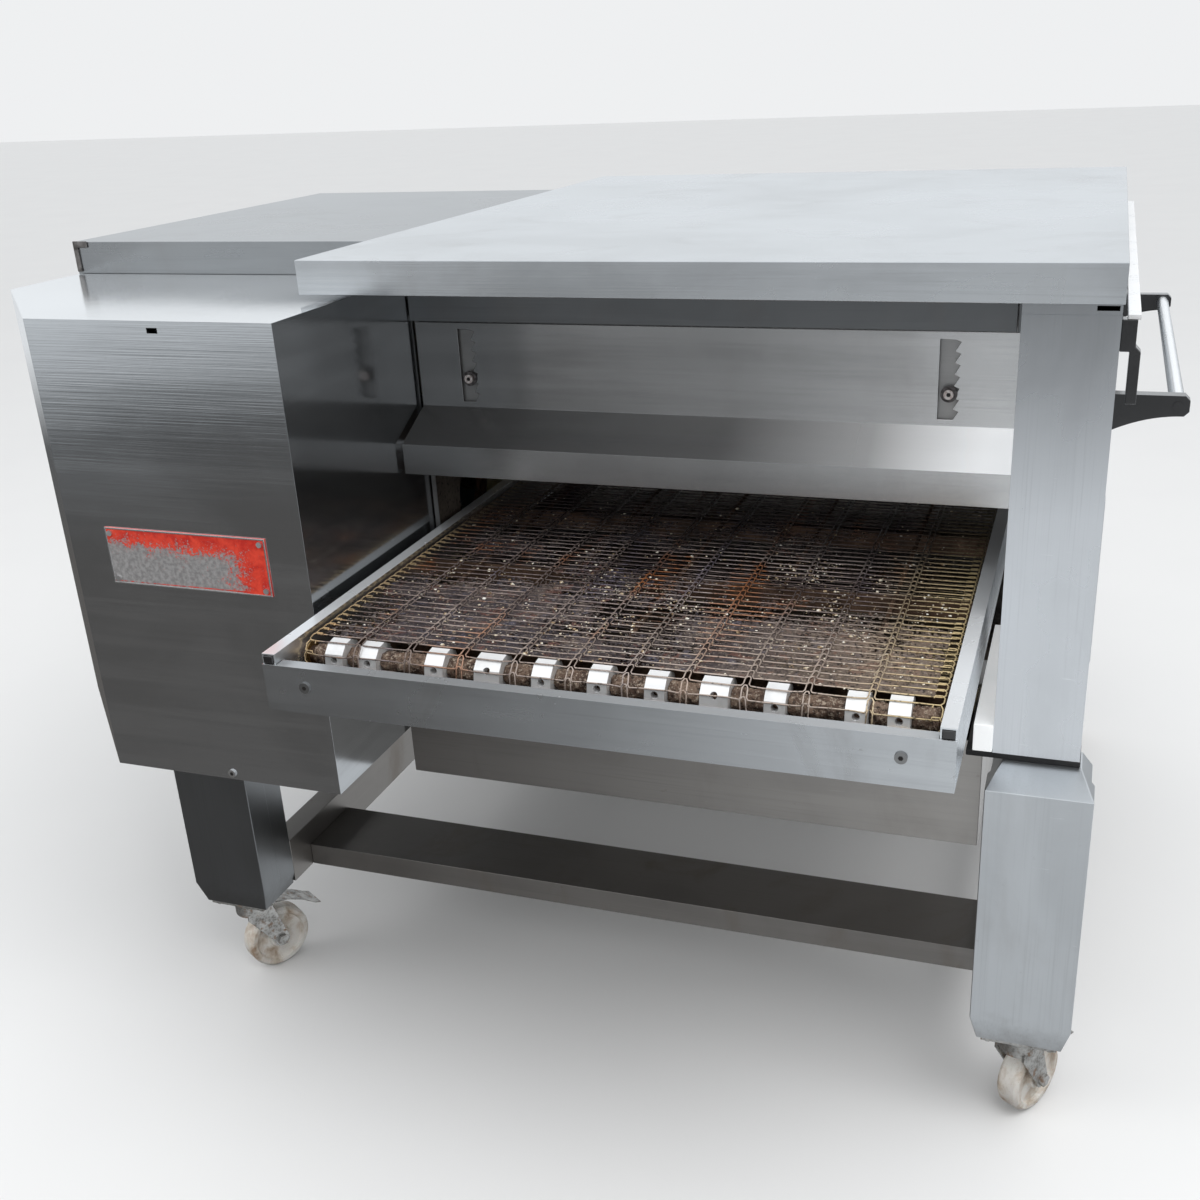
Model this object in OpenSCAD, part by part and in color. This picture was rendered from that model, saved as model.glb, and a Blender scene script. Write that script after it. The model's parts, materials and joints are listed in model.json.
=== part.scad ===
// Pizza oven with a wire-mesh conveyor that carries food through a heated tunnel.
// +Z is up, +X is the door side and -Y is the near end of the conveyor.
// The origin is on the floor, under the middle of the whole oven. The pieces are drawn around the belt, with
// x = 0 at its middle, and placed() then moves them to that origin. All sizes are in millimetres.

/* [Conveyor] */
// Width of the wire belt
belt_w = 800; // [790:5:810]
// Length of the conveyor over its end plates
conveyor_len = 1780; // [1740:10:1900]
// Height of the belt's upper surface
belt_top_z = 757; // [756:1:758]
// Outer radius of the belt where it turns
wrap_r = 27; // [27:0.5:28]
// Thickness of the wire mesh
mesh_t = 3; // [2.5:0.5:4]
// Width of a side rail
rail_w = 18; // [18:1:20]
// Height of a side rail
rail_h = 75.5; // [74:0.5:77]
// Distance from an end plate to its roller axis
roller_inset = 84; // [80:1:90]
// Width of a sprocket hub on a roller
hub_w = 25; // [22:1:28]
// Diameter of the roller shafts
shaft_d = 20; // [18:1:20]

/* [Casing] */
// Thickness of the casing sheet
sheet_t = 2; // [1.5:0.5:2.5]
// Half of the tunnel's length along the belt
tunnel_half = 384; // [380:1:386]
// Height of the underside of the tunnel casing
deck_z = 578; // [576:1:580]
// Height of the top of the door posts
post_top_z = 1149; // [1147:1:1149]
// Width of a door post
post_w = 107; // [105:1:109]
// Half of the length over the door posts
post_half = 585; // [580:1:588]
// Depth of the folded edge of the top cover
cover_h = 45; // [40:1:48]
// Height of the top of the cover
cover_top_z = 1195; // [1195:1:1198]
// Height of the bottom edge of the side cabinets
cabinet_low_z = 480; // [478:1:490]
// Height of the top of the side cabinets
cabinet_top_z = 1141; // [1135:1:1146]

/* [Baffles] */
// Height of a baffle's bottom edge in its usual place
baffle_low_z = 869; // [866:1:875]
// Height of the baffle's vertical lip
baffle_lip_h = 44; // [40:1:48]
// How far the baffle hood stands out
baffle_reach = 79; // [70:1:85]

/* [Stand] */
// Width of a leg
leg_w = 132; // [128:1:134]
// Depth of a leg
leg_d = 92; // [88:1:94]
// Height of the underside of a leg
leg_low_z = 153; // [153:1:156]
// Diameter of a caster wheel
wheel_d = 108; // [104:1:110]
// Width of a caster wheel
wheel_w = 36; // [32:1:36]
// Distance from a caster's swivel axis to its wheel axis
caster_trail = 30.5; // [28:0.5:34]
// Way that the casters point, from +X towards +Y
caster_turn = 60; // [0:5:90]

/* [Hidden] */
$fn = 48;

// Radial clearance of a running fit
fit = 0.05;
// Clearance between parts that only rest on each other
seat = 0.1;
// Overshoot of a cutting shape past the face that it cuts
over = 1;

// Conveyor
belt_half = belt_w / 2;
rail_in_x = belt_half + 2;
rail_out_x = rail_in_x + rail_w;
conveyor_half = conveyor_len / 2;
rail_low_z = belt_top_z - 69;
rail_top_z = rail_low_z + rail_h;
plate_top_z = rail_low_z + 62;
roller_z = belt_top_z - wrap_r;
roller_y = conveyor_half - roller_inset;
shaft_r = shaft_d / 2;
bush_r = 16;
hub_r = wrap_r - mesh_t - fit;
hub_sides = 10;
hub_turn = 26;
hub_hole_r = 4.5;
wide_hub_w = hub_w + 9;
hub_shift = -3;
hub_pitch = 71.5;
// Hubs counted from the middle one, with how far each is moved outwards from its even place
HUBS = [-5:5];
HUB_MOVES = [0, 0, 0, 0, 21, -3];
function hub_x(i) = hub_shift + i * hub_pitch + sign(i) * HUB_MOVES[abs(i)];

// Belt drive, inside the left rail
sprocket_tip_r = 24;
sprocket_teeth = 12;
sprocket_x = -(rail_in_x + 12);
sprocket_t = 6;
motor_y = -650;
motor_shaft_r = 8;
chain_in_r = sprocket_tip_r + 0.5;
chain_out_r = chain_in_r + 5;

// Casing
cabinet_x1 = -(rail_out_x + 13);
cabinet_x0 = cabinet_x1 - 377;
cabinet_front_y = -745;
cabinet_cut = 215;
cabinet_back_y = -378;
cabinet_left_x = cabinet_x0 - cabinet_cut;
post_x0 = rail_out_x + 20;
post_x1 = post_x0 + post_w;
post_back = tunnel_half + 14;
fascia_low_z = 1080;
cover_x0 = cabinet_x1 - 51;
cover_x1 = post_x1 + 2;
cover_half = post_half + 13;
cover_low_z = cover_top_z - cover_h;
face_front = tunnel_half + sheet_t;
housing_x0 = cabinet_left_x - 4;
housing_x1 = cover_x0 - 2;
housing_half = 374;
housing_top_z = cover_top_z - 5;
tunnel_x0 = cabinet_x1 + 2;
tunnel_x1 = post_x0 - 2;
tunnel_top_z = 960;
fan_y = 190;
fan_z = 770;
FINGER_Y = [-280, -95, 95, 280];
finger_w = 150;
upper_finger_z = 885;
lower_finger_z = deck_z + 12;

// Door
door_x0 = post_x1 - 60;
door_half = tunnel_half + 12;
door_low_z = deck_z + 8;
door_top_z = 1124;
hinge_x = post_x1 - 17;
hinge_z = door_low_z + 14;
hinge_r = 8;
handle_x = post_x1 + 79;
handle_z = 988;
handle_half = 364;
handle_r = 9.5;
handle_bracket_t = 20;
handle_tip_x = handle_x + 14;

// Distance from the oven's own middle to the belt's: the oven reaches from the fan housing to the handle
shift_x = -(housing_x0 + handle_tip_x) / 2;

// Baffles
baffle_y = -(tunnel_half + 8);
baffle_x0 = tunnel_x0 + 4;
clamp_z = baffle_low_z + 127;
clamp_r = 4;
CLAMP_X = [-346, 345];
slot_low_z = clamp_z - 35;
slot_h = 107;

// Stand
right_leg_x = post_x0 - 4 + leg_w / 2;
left_leg_x = -(rail_out_x + 328);
leg_front_y = -(post_half + 47);
leg_top_z = deck_z - 8;
caster_y = leg_front_y + 51;
CASTERS = [[right_leg_x, caster_y], [left_leg_x, caster_y], [right_leg_x, -caster_y],
    [left_leg_x, -caster_y]];
kingpin_r = 7;
axle_r = 6;
cheek_in = wheel_w / 2 + 2;
cheek_t = 4;
crown_low_z = wheel_d + 12;
crown_top_z = leg_low_z - 7;

// Control panel, on the slanted side of the far cabinet
panel_x = (cabinet_x0 + cabinet_left_x) / 2;
panel_y = cabinet_front_y + cabinet_cut / 2;
panel_t = 3;
control_z = 870;
button_r = 11;
switch_x = 50;
switch_r = 6;
START_X = -55;
STOP_X = -10;

// Moves a piece from the belt's middle to the oven's own origin
module placed() {
    translate([shift_x, 0, 0]) children();
}

// A block between two opposite corners
module box(low, high) {
    translate(low) cube(high - low);
}

// Round bars along each axis
module rod_x(r, x0, x1, y, z) {
    translate([x0, y, z]) rotate([0, 90, 0]) cylinder(r = r, h = x1 - x0);
}

module rod_y(r, y0, y1, x, z) {
    translate([x, y1, z]) rotate([90, 0, 0]) cylinder(r = r, h = y1 - y0);
}

module rod_z(r, z0, z1, x, y) {
    translate([x, y, z0]) cylinder(r = r, h = z1 - z0);
}

// An outline in Y and Z, drawn out along X
module along_x(x0, x1) {
    translate([x0, 0, 0]) rotate([90, 0, 90]) linear_extrude(x1 - x0) children();
}

// An outline in X and Z, drawn out along Y
module along_y(y0, y1) {
    translate([0, y1, 0]) rotate([90, 0, 0]) linear_extrude(y1 - y0) children();
}

// The same piece at the near end and at the far end
module both_ends() {
    children();
    mirror([0, 1, 0]) children();
}

// A long loop around two wheels, as an outline in Y and Z
module loop_outline(r, y0, y1, z) {
    translate([y0, z]) circle(r);
    translate([y1, z]) circle(r);
    translate([y0, z - r]) square([y1 - y0, 2 * r]);
}

// A folded box of sheet that is open below
module open_tray(low, high, t) {
    difference() {
        box(low, high);
        box([low[0] + t, low[1] + t, low[2] - over], [high[0] - t, high[1] - t, high[2] - t]);
    }
}

// ---- Casing ----

module top_cover() {
    lip = 14;
    color("silver") placed()
    difference() {
        box([cover_x0, -cover_half, cover_low_z], [cover_x1, cover_half, cover_top_z]);
        box([cover_x0 + sheet_t, -cover_half + sheet_t, cover_low_z + sheet_t],
            [cover_x1 - sheet_t, cover_half - sheet_t, cover_top_z - sheet_t]);
        box([cover_x0 + lip, -cover_half + lip, cover_low_z - over],
            [cover_x1 - lip, cover_half - lip, cover_low_z + sheet_t + over]);
    }
}

// Passages from the fan chamber to the tunnel, cut through its left wall
module side_passages(x0, x1) {
    for (y = [-fan_y, fan_y]) rod_x(110, x0, x1, y, fan_z);
    for (y = FINGER_Y) {
        box([x0, y - finger_w / 2 + 6, upper_finger_z + 6],
            [x1, y + finger_w / 2 - 6, upper_finger_z + 64]);
        box([x0, y - finger_w / 2 + 6, lower_finger_z + 6],
            [x1, y + finger_w / 2 - 6, lower_finger_z + 64]);
    }
}

module tunnel_liner() {
    half = tunnel_half - seat;
    color("dimgray") placed()
    difference() {
        box([tunnel_x0, -half, deck_z], [tunnel_x1, half, tunnel_top_z + sheet_t]);
        box([tunnel_x0 + sheet_t, -half - over, deck_z + sheet_t],
            [tunnel_x1 + over, half + over, tunnel_top_z]);
        side_passages(tunnel_x0 - over, tunnel_x0 + sheet_t + over);
    }
}

module insulation() {
    wall_x0 = cover_x0 + 1;
    wall_x1 = cabinet_x1;
    floor_low_z = 530;
    color("khaki") placed() {
        box([tunnel_x0 + 2, -tunnel_half + 2, tunnel_top_z + 4],
            [tunnel_x1, tunnel_half - 2, post_top_z - 15]);
        box([tunnel_x0 + 8, -tunnel_half + 2, floor_low_z],
            [rail_out_x - 8, tunnel_half - 2, leg_top_z - 2]);
        difference() {
            box([wall_x0, -housing_half + 2, cabinet_low_z], [wall_x1, housing_half - 2, post_top_z - 5]);
            side_passages(wall_x0 - over, wall_x1 + over);
        }
    }
}

module door_post() {
    groove_z = post_top_z - 13;
    difference() {
        box([post_x0, -post_half, deck_z], [post_x1, -post_back, post_top_z]);
        box([post_x0 + sheet_t, -post_half + sheet_t, deck_z - over],
            [post_x1 - sheet_t, -post_back - sheet_t, post_top_z - sheet_t]);
        box([post_x0 - over, -post_half - over, groove_z],
            [post_x1 + over, -post_half + sheet_t - 0.8, groove_z + 2]);
        box([post_x1 - 27, -post_half - over, post_top_z - 8],
            [post_x1 - 3, -post_half + sheet_t + over, post_top_z - 2.5]);
        rod_y(hinge_r + fit, -post_back - sheet_t - over, -post_back + over, hinge_x, hinge_z);
    }
}

module door_posts() {
    color("lightsteelblue") placed() both_ends() door_post();
}

module fascias() {
    seam_x = rail_out_x + 6;
    front = tunnel_half + 16;
    color("slategray") placed()
    both_ends() {
        box([tunnel_x0, -front, fascia_low_z], [seam_x, -front + sheet_t, post_top_z - 2]);
        box([seam_x + 1.5, -front, fascia_low_z], [tunnel_x1, -front + sheet_t, post_top_z - 2]);
    }
}

module face_panel() {
    opening_low_z = deck_z + 38;
    opening_top_z = 945;
    edge = 7;
    difference() {
        box([tunnel_x0, -face_front, deck_z], [tunnel_x1, -tunnel_half, post_top_z - 13]);
        box([tunnel_x0 + edge, -face_front - over, opening_low_z],
            [tunnel_x1 + over, -tunnel_half + over, opening_top_z]);
        box([rail_out_x - 6, -face_front - over, deck_z - over],
            [tunnel_x1 + over, -tunnel_half + over, opening_low_z + over]);
        for (x = CLAMP_X) {
            rod_y(clamp_r + fit, -face_front - over, -tunnel_half + over, x, clamp_z);
        }
    }
}

module face_panels() {
    color("gray") placed() both_ends() face_panel();
}

module belly_housing() {
    low = [-(rail_out_x + 8), -542, 409];
    high = [rail_out_x + 6, 542, leg_top_z - 1];
    color("rosybrown") placed()
    difference() {
        box(low, high);
        box([low[0] + sheet_t, low[1] + sheet_t, low[2] + sheet_t],
            [high[0] - sheet_t, high[1] - sheet_t, high[2] + over]);
    }
}

// Plan of a side cabinet, drawn in by an inset all round
module cabinet_plan(inset) {
    slant = inset * tan(45 / 2);
    polygon([[cabinet_x1 - inset, cabinet_front_y + inset],
        [cabinet_x0 + slant, cabinet_front_y + inset],
        [cabinet_left_x + inset, cabinet_front_y + cabinet_cut + slant],
        [cabinet_left_x + inset, cabinet_back_y - inset],
        [cabinet_x1 - inset, cabinet_back_y - inset]]);
}

module cabinet_shell() {
    lip = 20;
    difference() {
        translate([0, 0, cabinet_low_z])
        linear_extrude(cabinet_top_z - cabinet_low_z) cabinet_plan(0);
        translate([0, 0, cabinet_low_z + sheet_t])
        linear_extrude(cabinet_top_z - cabinet_low_z - 2 * sheet_t) cabinet_plan(sheet_t);
        translate([0, 0, cabinet_low_z - over])
        linear_extrude(sheet_t + 2 * over) cabinet_plan(lip);
    }
}

// Places a child on the slanted side of the near cabinet: its own X runs along the side, and -Y points out
module on_slant() {
    translate([panel_x, panel_y, 0]) rotate([0, 0, -45]) children();
}

// The same on the far cabinet, which holds the controls
module on_panel() {
    mirror([0, 1, 0]) on_slant() children();
}

module drive_cabinet() {
    vent_x = (cabinet_x0 + cabinet_x1) / 2 + 11;
    color("gray") placed()
    difference() {
        cabinet_shell();
        box([vent_x - 8, cabinet_front_y - over, cabinet_top_z - 16],
            [vent_x + 8, cabinet_front_y + sheet_t + over, cabinet_top_z - 9]);
        rod_x(motor_shaft_r + 2, cabinet_x1 - sheet_t - over, cabinet_x1 + over, motor_y, roller_z);
        cabinet_screw_holes();
        badge_rivet_places() rod_y(2 + fit, cabinet_front_y - over, cabinet_front_y + sheet_t + over, 0, 0);
    }
}

module cabinet_screw_holes() {
    rod_y(3 + fit, cabinet_front_y - over, cabinet_front_y + sheet_t + over, cabinet_x0 + 200,
        cabinet_low_z + 10);
}

module electrics_cabinet() {
    color("gray") placed()
    mirror([0, 1, 0])
    difference() {
        cabinet_shell();
        cabinet_screw_holes();
        rod_y(12 + fit, cabinet_front_y - over, cabinet_front_y + sheet_t + over, -700, 560);
        on_slant() {
            rod_y(switch_r + 1.5, -over, sheet_t + over, switch_x, control_z);
            for (x = [START_X, STOP_X]) rod_y(button_r + 1.5, -over, sheet_t + over, x, control_z);
        }
    }
}

module fan_housing() {
    color("darkgray") placed()
    difference() {
        box([housing_x0, -housing_half, cabinet_low_z], [housing_x1, housing_half, housing_top_z]);
        box([housing_x0 + sheet_t, -housing_half + sheet_t, cabinet_low_z + sheet_t],
            [housing_x1 + over, housing_half - sheet_t, housing_top_z - sheet_t]);
        for (side = [-1, 1], i = [-5:5], level = [560, 1020]) {
            y = side * fan_y + i * 22;
            box([housing_x0 - over, y - 3, level], [housing_x0 + sheet_t + over, y + 3, level + 70]);
        }
    }
}

// ---- Badge and fasteners ----

badge_x0 = cabinet_x0 + 63;
badge_x1 = badge_x0 + 255;
badge_z0 = 776;
badge_z1 = 858;
badge_t = 2;

module badge_rivet_places() {
    inset = 8;
    for (x = [badge_x0 + inset, badge_x1 - inset], z = [badge_z0 + inset, badge_z1 - inset]) {
        translate([x, 0, z]) children();
    }
}

module badge_plate() {
    front = cabinet_front_y - badge_t;
    color("crimson") placed()
    difference() {
        box([badge_x0, front, badge_z0], [badge_x1, cabinet_front_y, badge_z1]);
        badge_rivet_places() rod_y(2 + fit, front - over, cabinet_front_y + over, 0, 0);
    }
}

// A pan-head screw pushed in along +Y through a face at y
module pan_screw(x, y, z, head_r, shank_r, length) {
    rod_y(head_r, y - 2.5, y, x, z);
    rod_y(shank_r, y - over, y + length, x, z);
}

module panel_screws() {
    color("gainsboro") placed() {
        both_ends() {
            for (x = [-363, 363]) pan_screw(x, -conveyor_half, rail_low_z + 36, 7, 4, 10);
            pan_screw(cabinet_x0 + 200, cabinet_front_y, cabinet_low_z + 10, 6, 3, 10);
        }
        badge_rivet_places() pan_screw(0, cabinet_front_y - badge_t, 0, 4, 2, 6);
    }
}

// ---- Conveyor ----

// A hollow rail on the right-hand side
module rail_tube() {
    half = conveyor_half - sheet_t - 0.5;
    difference() {
        box([rail_in_x, -half, rail_low_z], [rail_out_x, half, rail_top_z]);
        box([rail_in_x + sheet_t, -half - over, rail_low_z + sheet_t],
            [rail_out_x - sheet_t, half + over, rail_top_z - sheet_t]);
        for (y = [-roller_y, roller_y]) {
            rod_x(bush_r + 0.02, rail_in_x - over, rail_in_x + sheet_t + over, y, roller_z);
        }
    }
}

module conveyor_rails() {
    color("silver") placed() {
        rail_tube();
        difference() {
            mirror([1, 0, 0]) rail_tube();
            rod_x(motor_shaft_r + 2, -rail_out_x - over, -rail_out_x + sheet_t + over, motor_y, roller_z);
        }
    }
}

module rail_end_caps() {
    color("black") placed()
    both_ends() {
        for (side = [-1, 1]) {
            x = side * (rail_in_x + rail_w / 2);
            reach = rail_w / 2 - sheet_t - 0.5;
            box([x - reach, -conveyor_half + 0.5, plate_top_z + 1.5],
                [x + reach, -conveyor_half + 15, rail_top_z - sheet_t - 0.5]);
        }
    }
}

module end_plate() {
    lip = 18;
    lip_x = rail_in_x - 1;
    back = -conveyor_half + sheet_t;
    difference() {
        union() {
            box([-rail_out_x, -conveyor_half, rail_low_z], [rail_out_x, back, plate_top_z]);
            box([-lip_x, -conveyor_half, plate_top_z - sheet_t], [lip_x, -conveyor_half + lip, plate_top_z]);
            box([-lip_x, -conveyor_half, rail_low_z], [lip_x, -conveyor_half + lip, rail_low_z + sheet_t]);
        }
        for (x = [-363, 363]) rod_y(4 + fit, -conveyor_half - over, back + over, x, rail_low_z + 36);
    }
}

module end_plates() {
    color("lightgray") placed() both_ends() end_plate();
}

module belt() {
    color("sienna") placed()
    along_x(-belt_half, belt_half)
    difference() {
        loop_outline(wrap_r, -roller_y, roller_y, roller_z);
        loop_outline(wrap_r - mesh_t, -roller_y, roller_y, roller_z);
    }
}

module belt_supports() {
    rod_r = 3;
    rod_z_mid = belt_top_z - mesh_t - rod_r - seat;
    bar_top = rod_z_mid - rod_r - seat;
    color("dimgray") placed() {
        for (y = [-750:250:750]) {
            box([-rail_in_x + seat, y - 2.5, bar_top - 26], [rail_in_x - seat, y + 2.5, bar_top]);
        }
        for (x = [-300:150:300]) rod_y(rod_r, -roller_y + 30, roller_y - 30, x, rod_z_mid);
    }
}

module crumb_trays() {
    t = 1.5;
    x = rail_in_x - 1.5;
    color("dimgray") placed()
    both_ends()
    difference() {
        box([-x, -conveyor_half + 22, rail_low_z + 1], [x, -450, rail_low_z + 6]);
        box([-x + t, -conveyor_half + 22 + t, rail_low_z + 1 + t], [x - t, -450 - t, rail_low_z + 7]);
    }
}

// Shaft of a roller, with its middle at the near end
module roller_shaft() {
    reach = rail_out_x - 4;
    rod_x(shaft_r, -reach, reach, -roller_y, roller_z);
}

// Ten-sided hubs that carry the belt round a roller, each with a set-screw hole. The hole of a wide hub is
// on a corner, and that of a narrow one is in the face below that corner.
module sprocket_hubs() {
    corner = hub_turn + 360 / hub_sides;
    for (i = HUBS) {
        wide = abs(i) == 2;
        half = (wide ? wide_hub_w : hub_w) / 2;
        hole_turn = wide ? corner : corner + 180 / hub_sides;
        translate([hub_x(i), -roller_y, roller_z])
        difference() {
            rotate([hub_turn, 0, 0]) translate([-half, 0, 0]) rotate([0, 90, 0])
            cylinder(r = hub_r, h = 2 * half, $fn = hub_sides);
            rod_x(shaft_r + 0.02, -half - over, half + over, 0, 0);
            rotate([hole_turn, 0, 0]) rotate(45) cylinder(r = hub_hole_r, h = hub_r + over);
        }
    }
}

module drive_shaft() {
    color("saddlebrown") placed() roller_shaft();
}

module drive_hubs() {
    color("white") placed() sprocket_hubs();
}

module idler_shaft() {
    color("saddlebrown") placed() mirror([0, 1, 0]) roller_shaft();
}

module idler_hubs() {
    color("white") placed() mirror([0, 1, 0]) sprocket_hubs();
}

module shaft_bearings() {
    color("goldenrod") placed()
    both_ends() {
        for (side = [-1, 1]) {
            x = side * (rail_in_x + 2);
            difference() {
                rod_x(bush_r, x - 3, x + 3, -roller_y, roller_z);
                rod_x(shaft_r + fit, x - 4, x + 4, -roller_y, roller_z);
            }
        }
    }
}

// A toothed wheel on an axis along X
module sprocket(y, bore_r) {
    along_x(sprocket_x - sprocket_t / 2, sprocket_x + sprocket_t / 2)
    translate([y, roller_z])
    difference() {
        circle(sprocket_tip_r);
        circle(bore_r);
        for (i = [0:sprocket_teeth - 1]) {
            rotate(i * 360 / sprocket_teeth) translate([sprocket_tip_r + 0.5, 0]) circle(3.4);
        }
    }
}

module drive_sprocket() {
    color("darkgray") placed() sprocket(-roller_y, shaft_r + 0.02);
}

module motor_sprocket() {
    color("darkgray") placed()
    union() {
        sprocket(motor_y, motor_shaft_r - 1);
        rod_x(motor_shaft_r, cabinet_x1 - 110, sprocket_x + sprocket_t / 2, motor_y, roller_z);
    }
}

module drive_chain() {
    color("dimgray") placed()
    along_x(sprocket_x - 3.5, sprocket_x + 3.5)
    difference() {
        loop_outline(chain_out_r, -roller_y, motor_y, roller_z);
        loop_outline(chain_in_r, -roller_y, motor_y, roller_z);
    }
}

module gearmotor() {
    x1 = cabinet_x1 - sheet_t - seat;
    x0 = x1 - 120;
    color("cadetblue") placed()
    difference() {
        union() {
            box([x0, motor_y - 50, roller_z - 53], [x1, motor_y + 50, roller_z + 53]);
            rod_y(45, motor_y + 50, motor_y + 225, x0 + 60, roller_z);
            rod_y(48, motor_y + 205, motor_y + 235, x0 + 60, roller_z);
        }
        rod_x(motor_shaft_r + fit, x0 + 2, x1 + over, motor_y, roller_z);
    }
}

// ---- Base of the casing ----

module filler_bars() {
    color("white") placed()
    both_ends() {
        x0 = rail_out_x - 5;
        x1 = post_x0 - 0.5;
        box([x0, -post_half, deck_z + seat], [x1, -tunnel_half, deck_z + 38]);
        box([x0, -tunnel_half - over, deck_z + sheet_t + seat], [x1, -254, deck_z + 38]);
    }
}

module base_gaskets() {
    color("black") placed()
    both_ends() {
        box([rail_out_x - 13, -post_half, leg_top_z], [post_x1 + 1, -post_back, deck_z]);
        box([tunnel_x0 + 4, -tunnel_half, leg_top_z], [rail_out_x - 14, -tunnel_half + 20, deck_z]);
    }
}

// ---- Stand ----

module leg(x) {
    half = leg_w / 2;
    y0 = leg_front_y;
    y1 = y0 + leg_d;
    low_fold = leg_low_z + 40;
    top_fold = leg_top_z - 22;
    difference() {
        intersection() {
            along_y(y0 - over, y1)
            polygon([[x - half, low_fold], [x - half, top_fold], [x - half + 18, leg_top_z],
                [x + half - 18, leg_top_z], [x + half, top_fold], [x + half, low_fold],
                [x + half - 10, leg_low_z], [x - half + 10, leg_low_z]]);
            along_x(x - leg_w, x + leg_w)
            polygon([[y0, low_fold], [y0, top_fold], [y0 + 47, leg_top_z], [y1, leg_top_z],
                [y1, leg_low_z], [y0 + 10, leg_low_z]]);
        }
        box([x - half + 7, y0 + 3, low_fold + 3], [x + half - 7, y1 + over, top_fold - 3]);
        for (side = [-1, 1]) {
            edge = x + side * (half + 6);
            box([edge - 10, y0 + 46, 0], [edge + 10, y1 + over, leg_top_z + over]);
        }
    }
}

module stand_legs() {
    color("lightsteelblue") placed()
    both_ends() {
        leg(right_leg_x);
        leg(left_leg_x);
    }
}

beam_low_z = leg_low_z + 5;
beam_w = 40;
right_beam_x = right_leg_x - leg_w / 2 + 4;
left_beam_x = left_leg_x + leg_w / 2 - 4 - beam_w;

module side_beams() {
    half = -(leg_front_y + leg_d) - seat;
    t = 2.5;
    color("dimgray") placed()
    for (x = [left_beam_x, right_beam_x]) {
        difference() {
            box([x, -half, beam_low_z], [x + beam_w, half, beam_low_z + 79]);
            box([x + t, -half - over, beam_low_z + t], [x + beam_w - t, half + over, beam_low_z + 79 - t]);
        }
    }
}

module stand_planks() {
    x0 = left_beam_x + beam_w + seat;
    x1 = right_beam_x - seat;
    color("dimgray") placed()
    both_ends()
    open_tray([x0, -484, beam_low_z], [x1, -357, beam_low_z + 38], sheet_t);
}

// ---- Casters ----

// Places a child on a caster's swivel axis, pointing the way that the casters trail
module on_caster(i) {
    translate([CASTERS[i][0], CASTERS[i][1], 0]) rotate([0, 0, caster_turn]) children();
}

module caster_plates() {
    color("darkgray") placed()
    for (place = CASTERS) {
        translate([place[0], place[1], 0]) {
            box([-50, -40, leg_low_z - 4], [50, 40, leg_low_z - seat]);
            rod_z(kingpin_r, crown_low_z - 1, leg_low_z - 3, 0, 0);
            rod_z(11, crown_low_z - 6, crown_low_z - 0.5, 0, 0);
        }
    }
}

module cheek(side) {
    y = side * (cheek_in + cheek_t / 2);
    axle_z = wheel_d / 2;
    difference() {
        along_y(y - cheek_t / 2, y + cheek_t / 2)
        union() {
            polygon([[-22, crown_low_z + 6], [22, crown_low_z + 6], [caster_trail + 13, axle_z],
                [caster_trail - 13, axle_z], [-22, crown_low_z - 6]]);
            translate([caster_trail, axle_z]) circle(13);
        }
        rod_y(axle_r + fit, y - cheek_t, y + cheek_t, caster_trail, axle_z);
    }
}

// A swivel fork with its axle bolt
module caster_fork(i) {
    axle_z = wheel_d / 2;
    color("silver") placed()
    on_caster(i) {
        difference() {
            union() {
                rod_z(30, crown_low_z, crown_top_z, 0, 0);
                cheek(-1);
                cheek(1);
            }
            rod_z(kingpin_r + fit, crown_low_z - over, crown_top_z + over, 0, 0);
        }
        rod_y(axle_r, -cheek_in - cheek_t - 2, cheek_in + cheek_t + 2, caster_trail, axle_z);
        for (side = [-1, 1]) {
            y = side * (cheek_in + cheek_t + 3 + seat);
            translate([caster_trail, y + 3, axle_z]) rotate([90, 0, 0]) cylinder(r = 9.5, h = 6, $fn = 6);
        }
    }
}

module caster_wheel(i) {
    half = wheel_w / 2;
    r = wheel_d / 2;
    color("ivory") placed()
    on_caster(i)
    translate([caster_trail, 0, r])
    rotate([90, 0, 0])
    rotate_extrude($fn = 96)
    polygon([[axle_r + fit, -half], [17, -half], [19, -half + 7], [r - 13, -half + 7],
        [r - 11, -half + 1], [r - 4, -half + 1], [r, -half + 6], [r, half - 6], [r - 4, half - 1],
        [r - 11, half - 1], [r - 13, half - 7], [19, half - 7], [17, half], [axle_r + fit, half]]);
}

module near_right_fork() { caster_fork(0); }
module near_left_fork() { caster_fork(1); }
module far_right_fork() { caster_fork(2); }
module far_left_fork() { caster_fork(3); }
module near_right_wheel() { caster_wheel(0); }
module near_left_wheel() { caster_wheel(1); }
module far_right_wheel() { caster_wheel(2); }
module far_left_wheel() { caster_wheel(3); }

// ---- Baffles ----

// Height-setting slot with a straight side and a toothed side, as an outline in X and Z
module clamp_slot() {
    teeth = 7;
    pitch = slot_h / teeth;
    straight_x = -14;
    root_x = 6;
    tip_x = 13;
    points = [for (i = [0:teeth - 1], p = [[root_x, i * pitch], [tip_x, (i + 0.75) * pitch],
        [root_x, (i + 0.95) * pitch]]) p];
    polygon(concat([[straight_x, slot_h], [straight_x, 0]], points));
}

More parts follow.
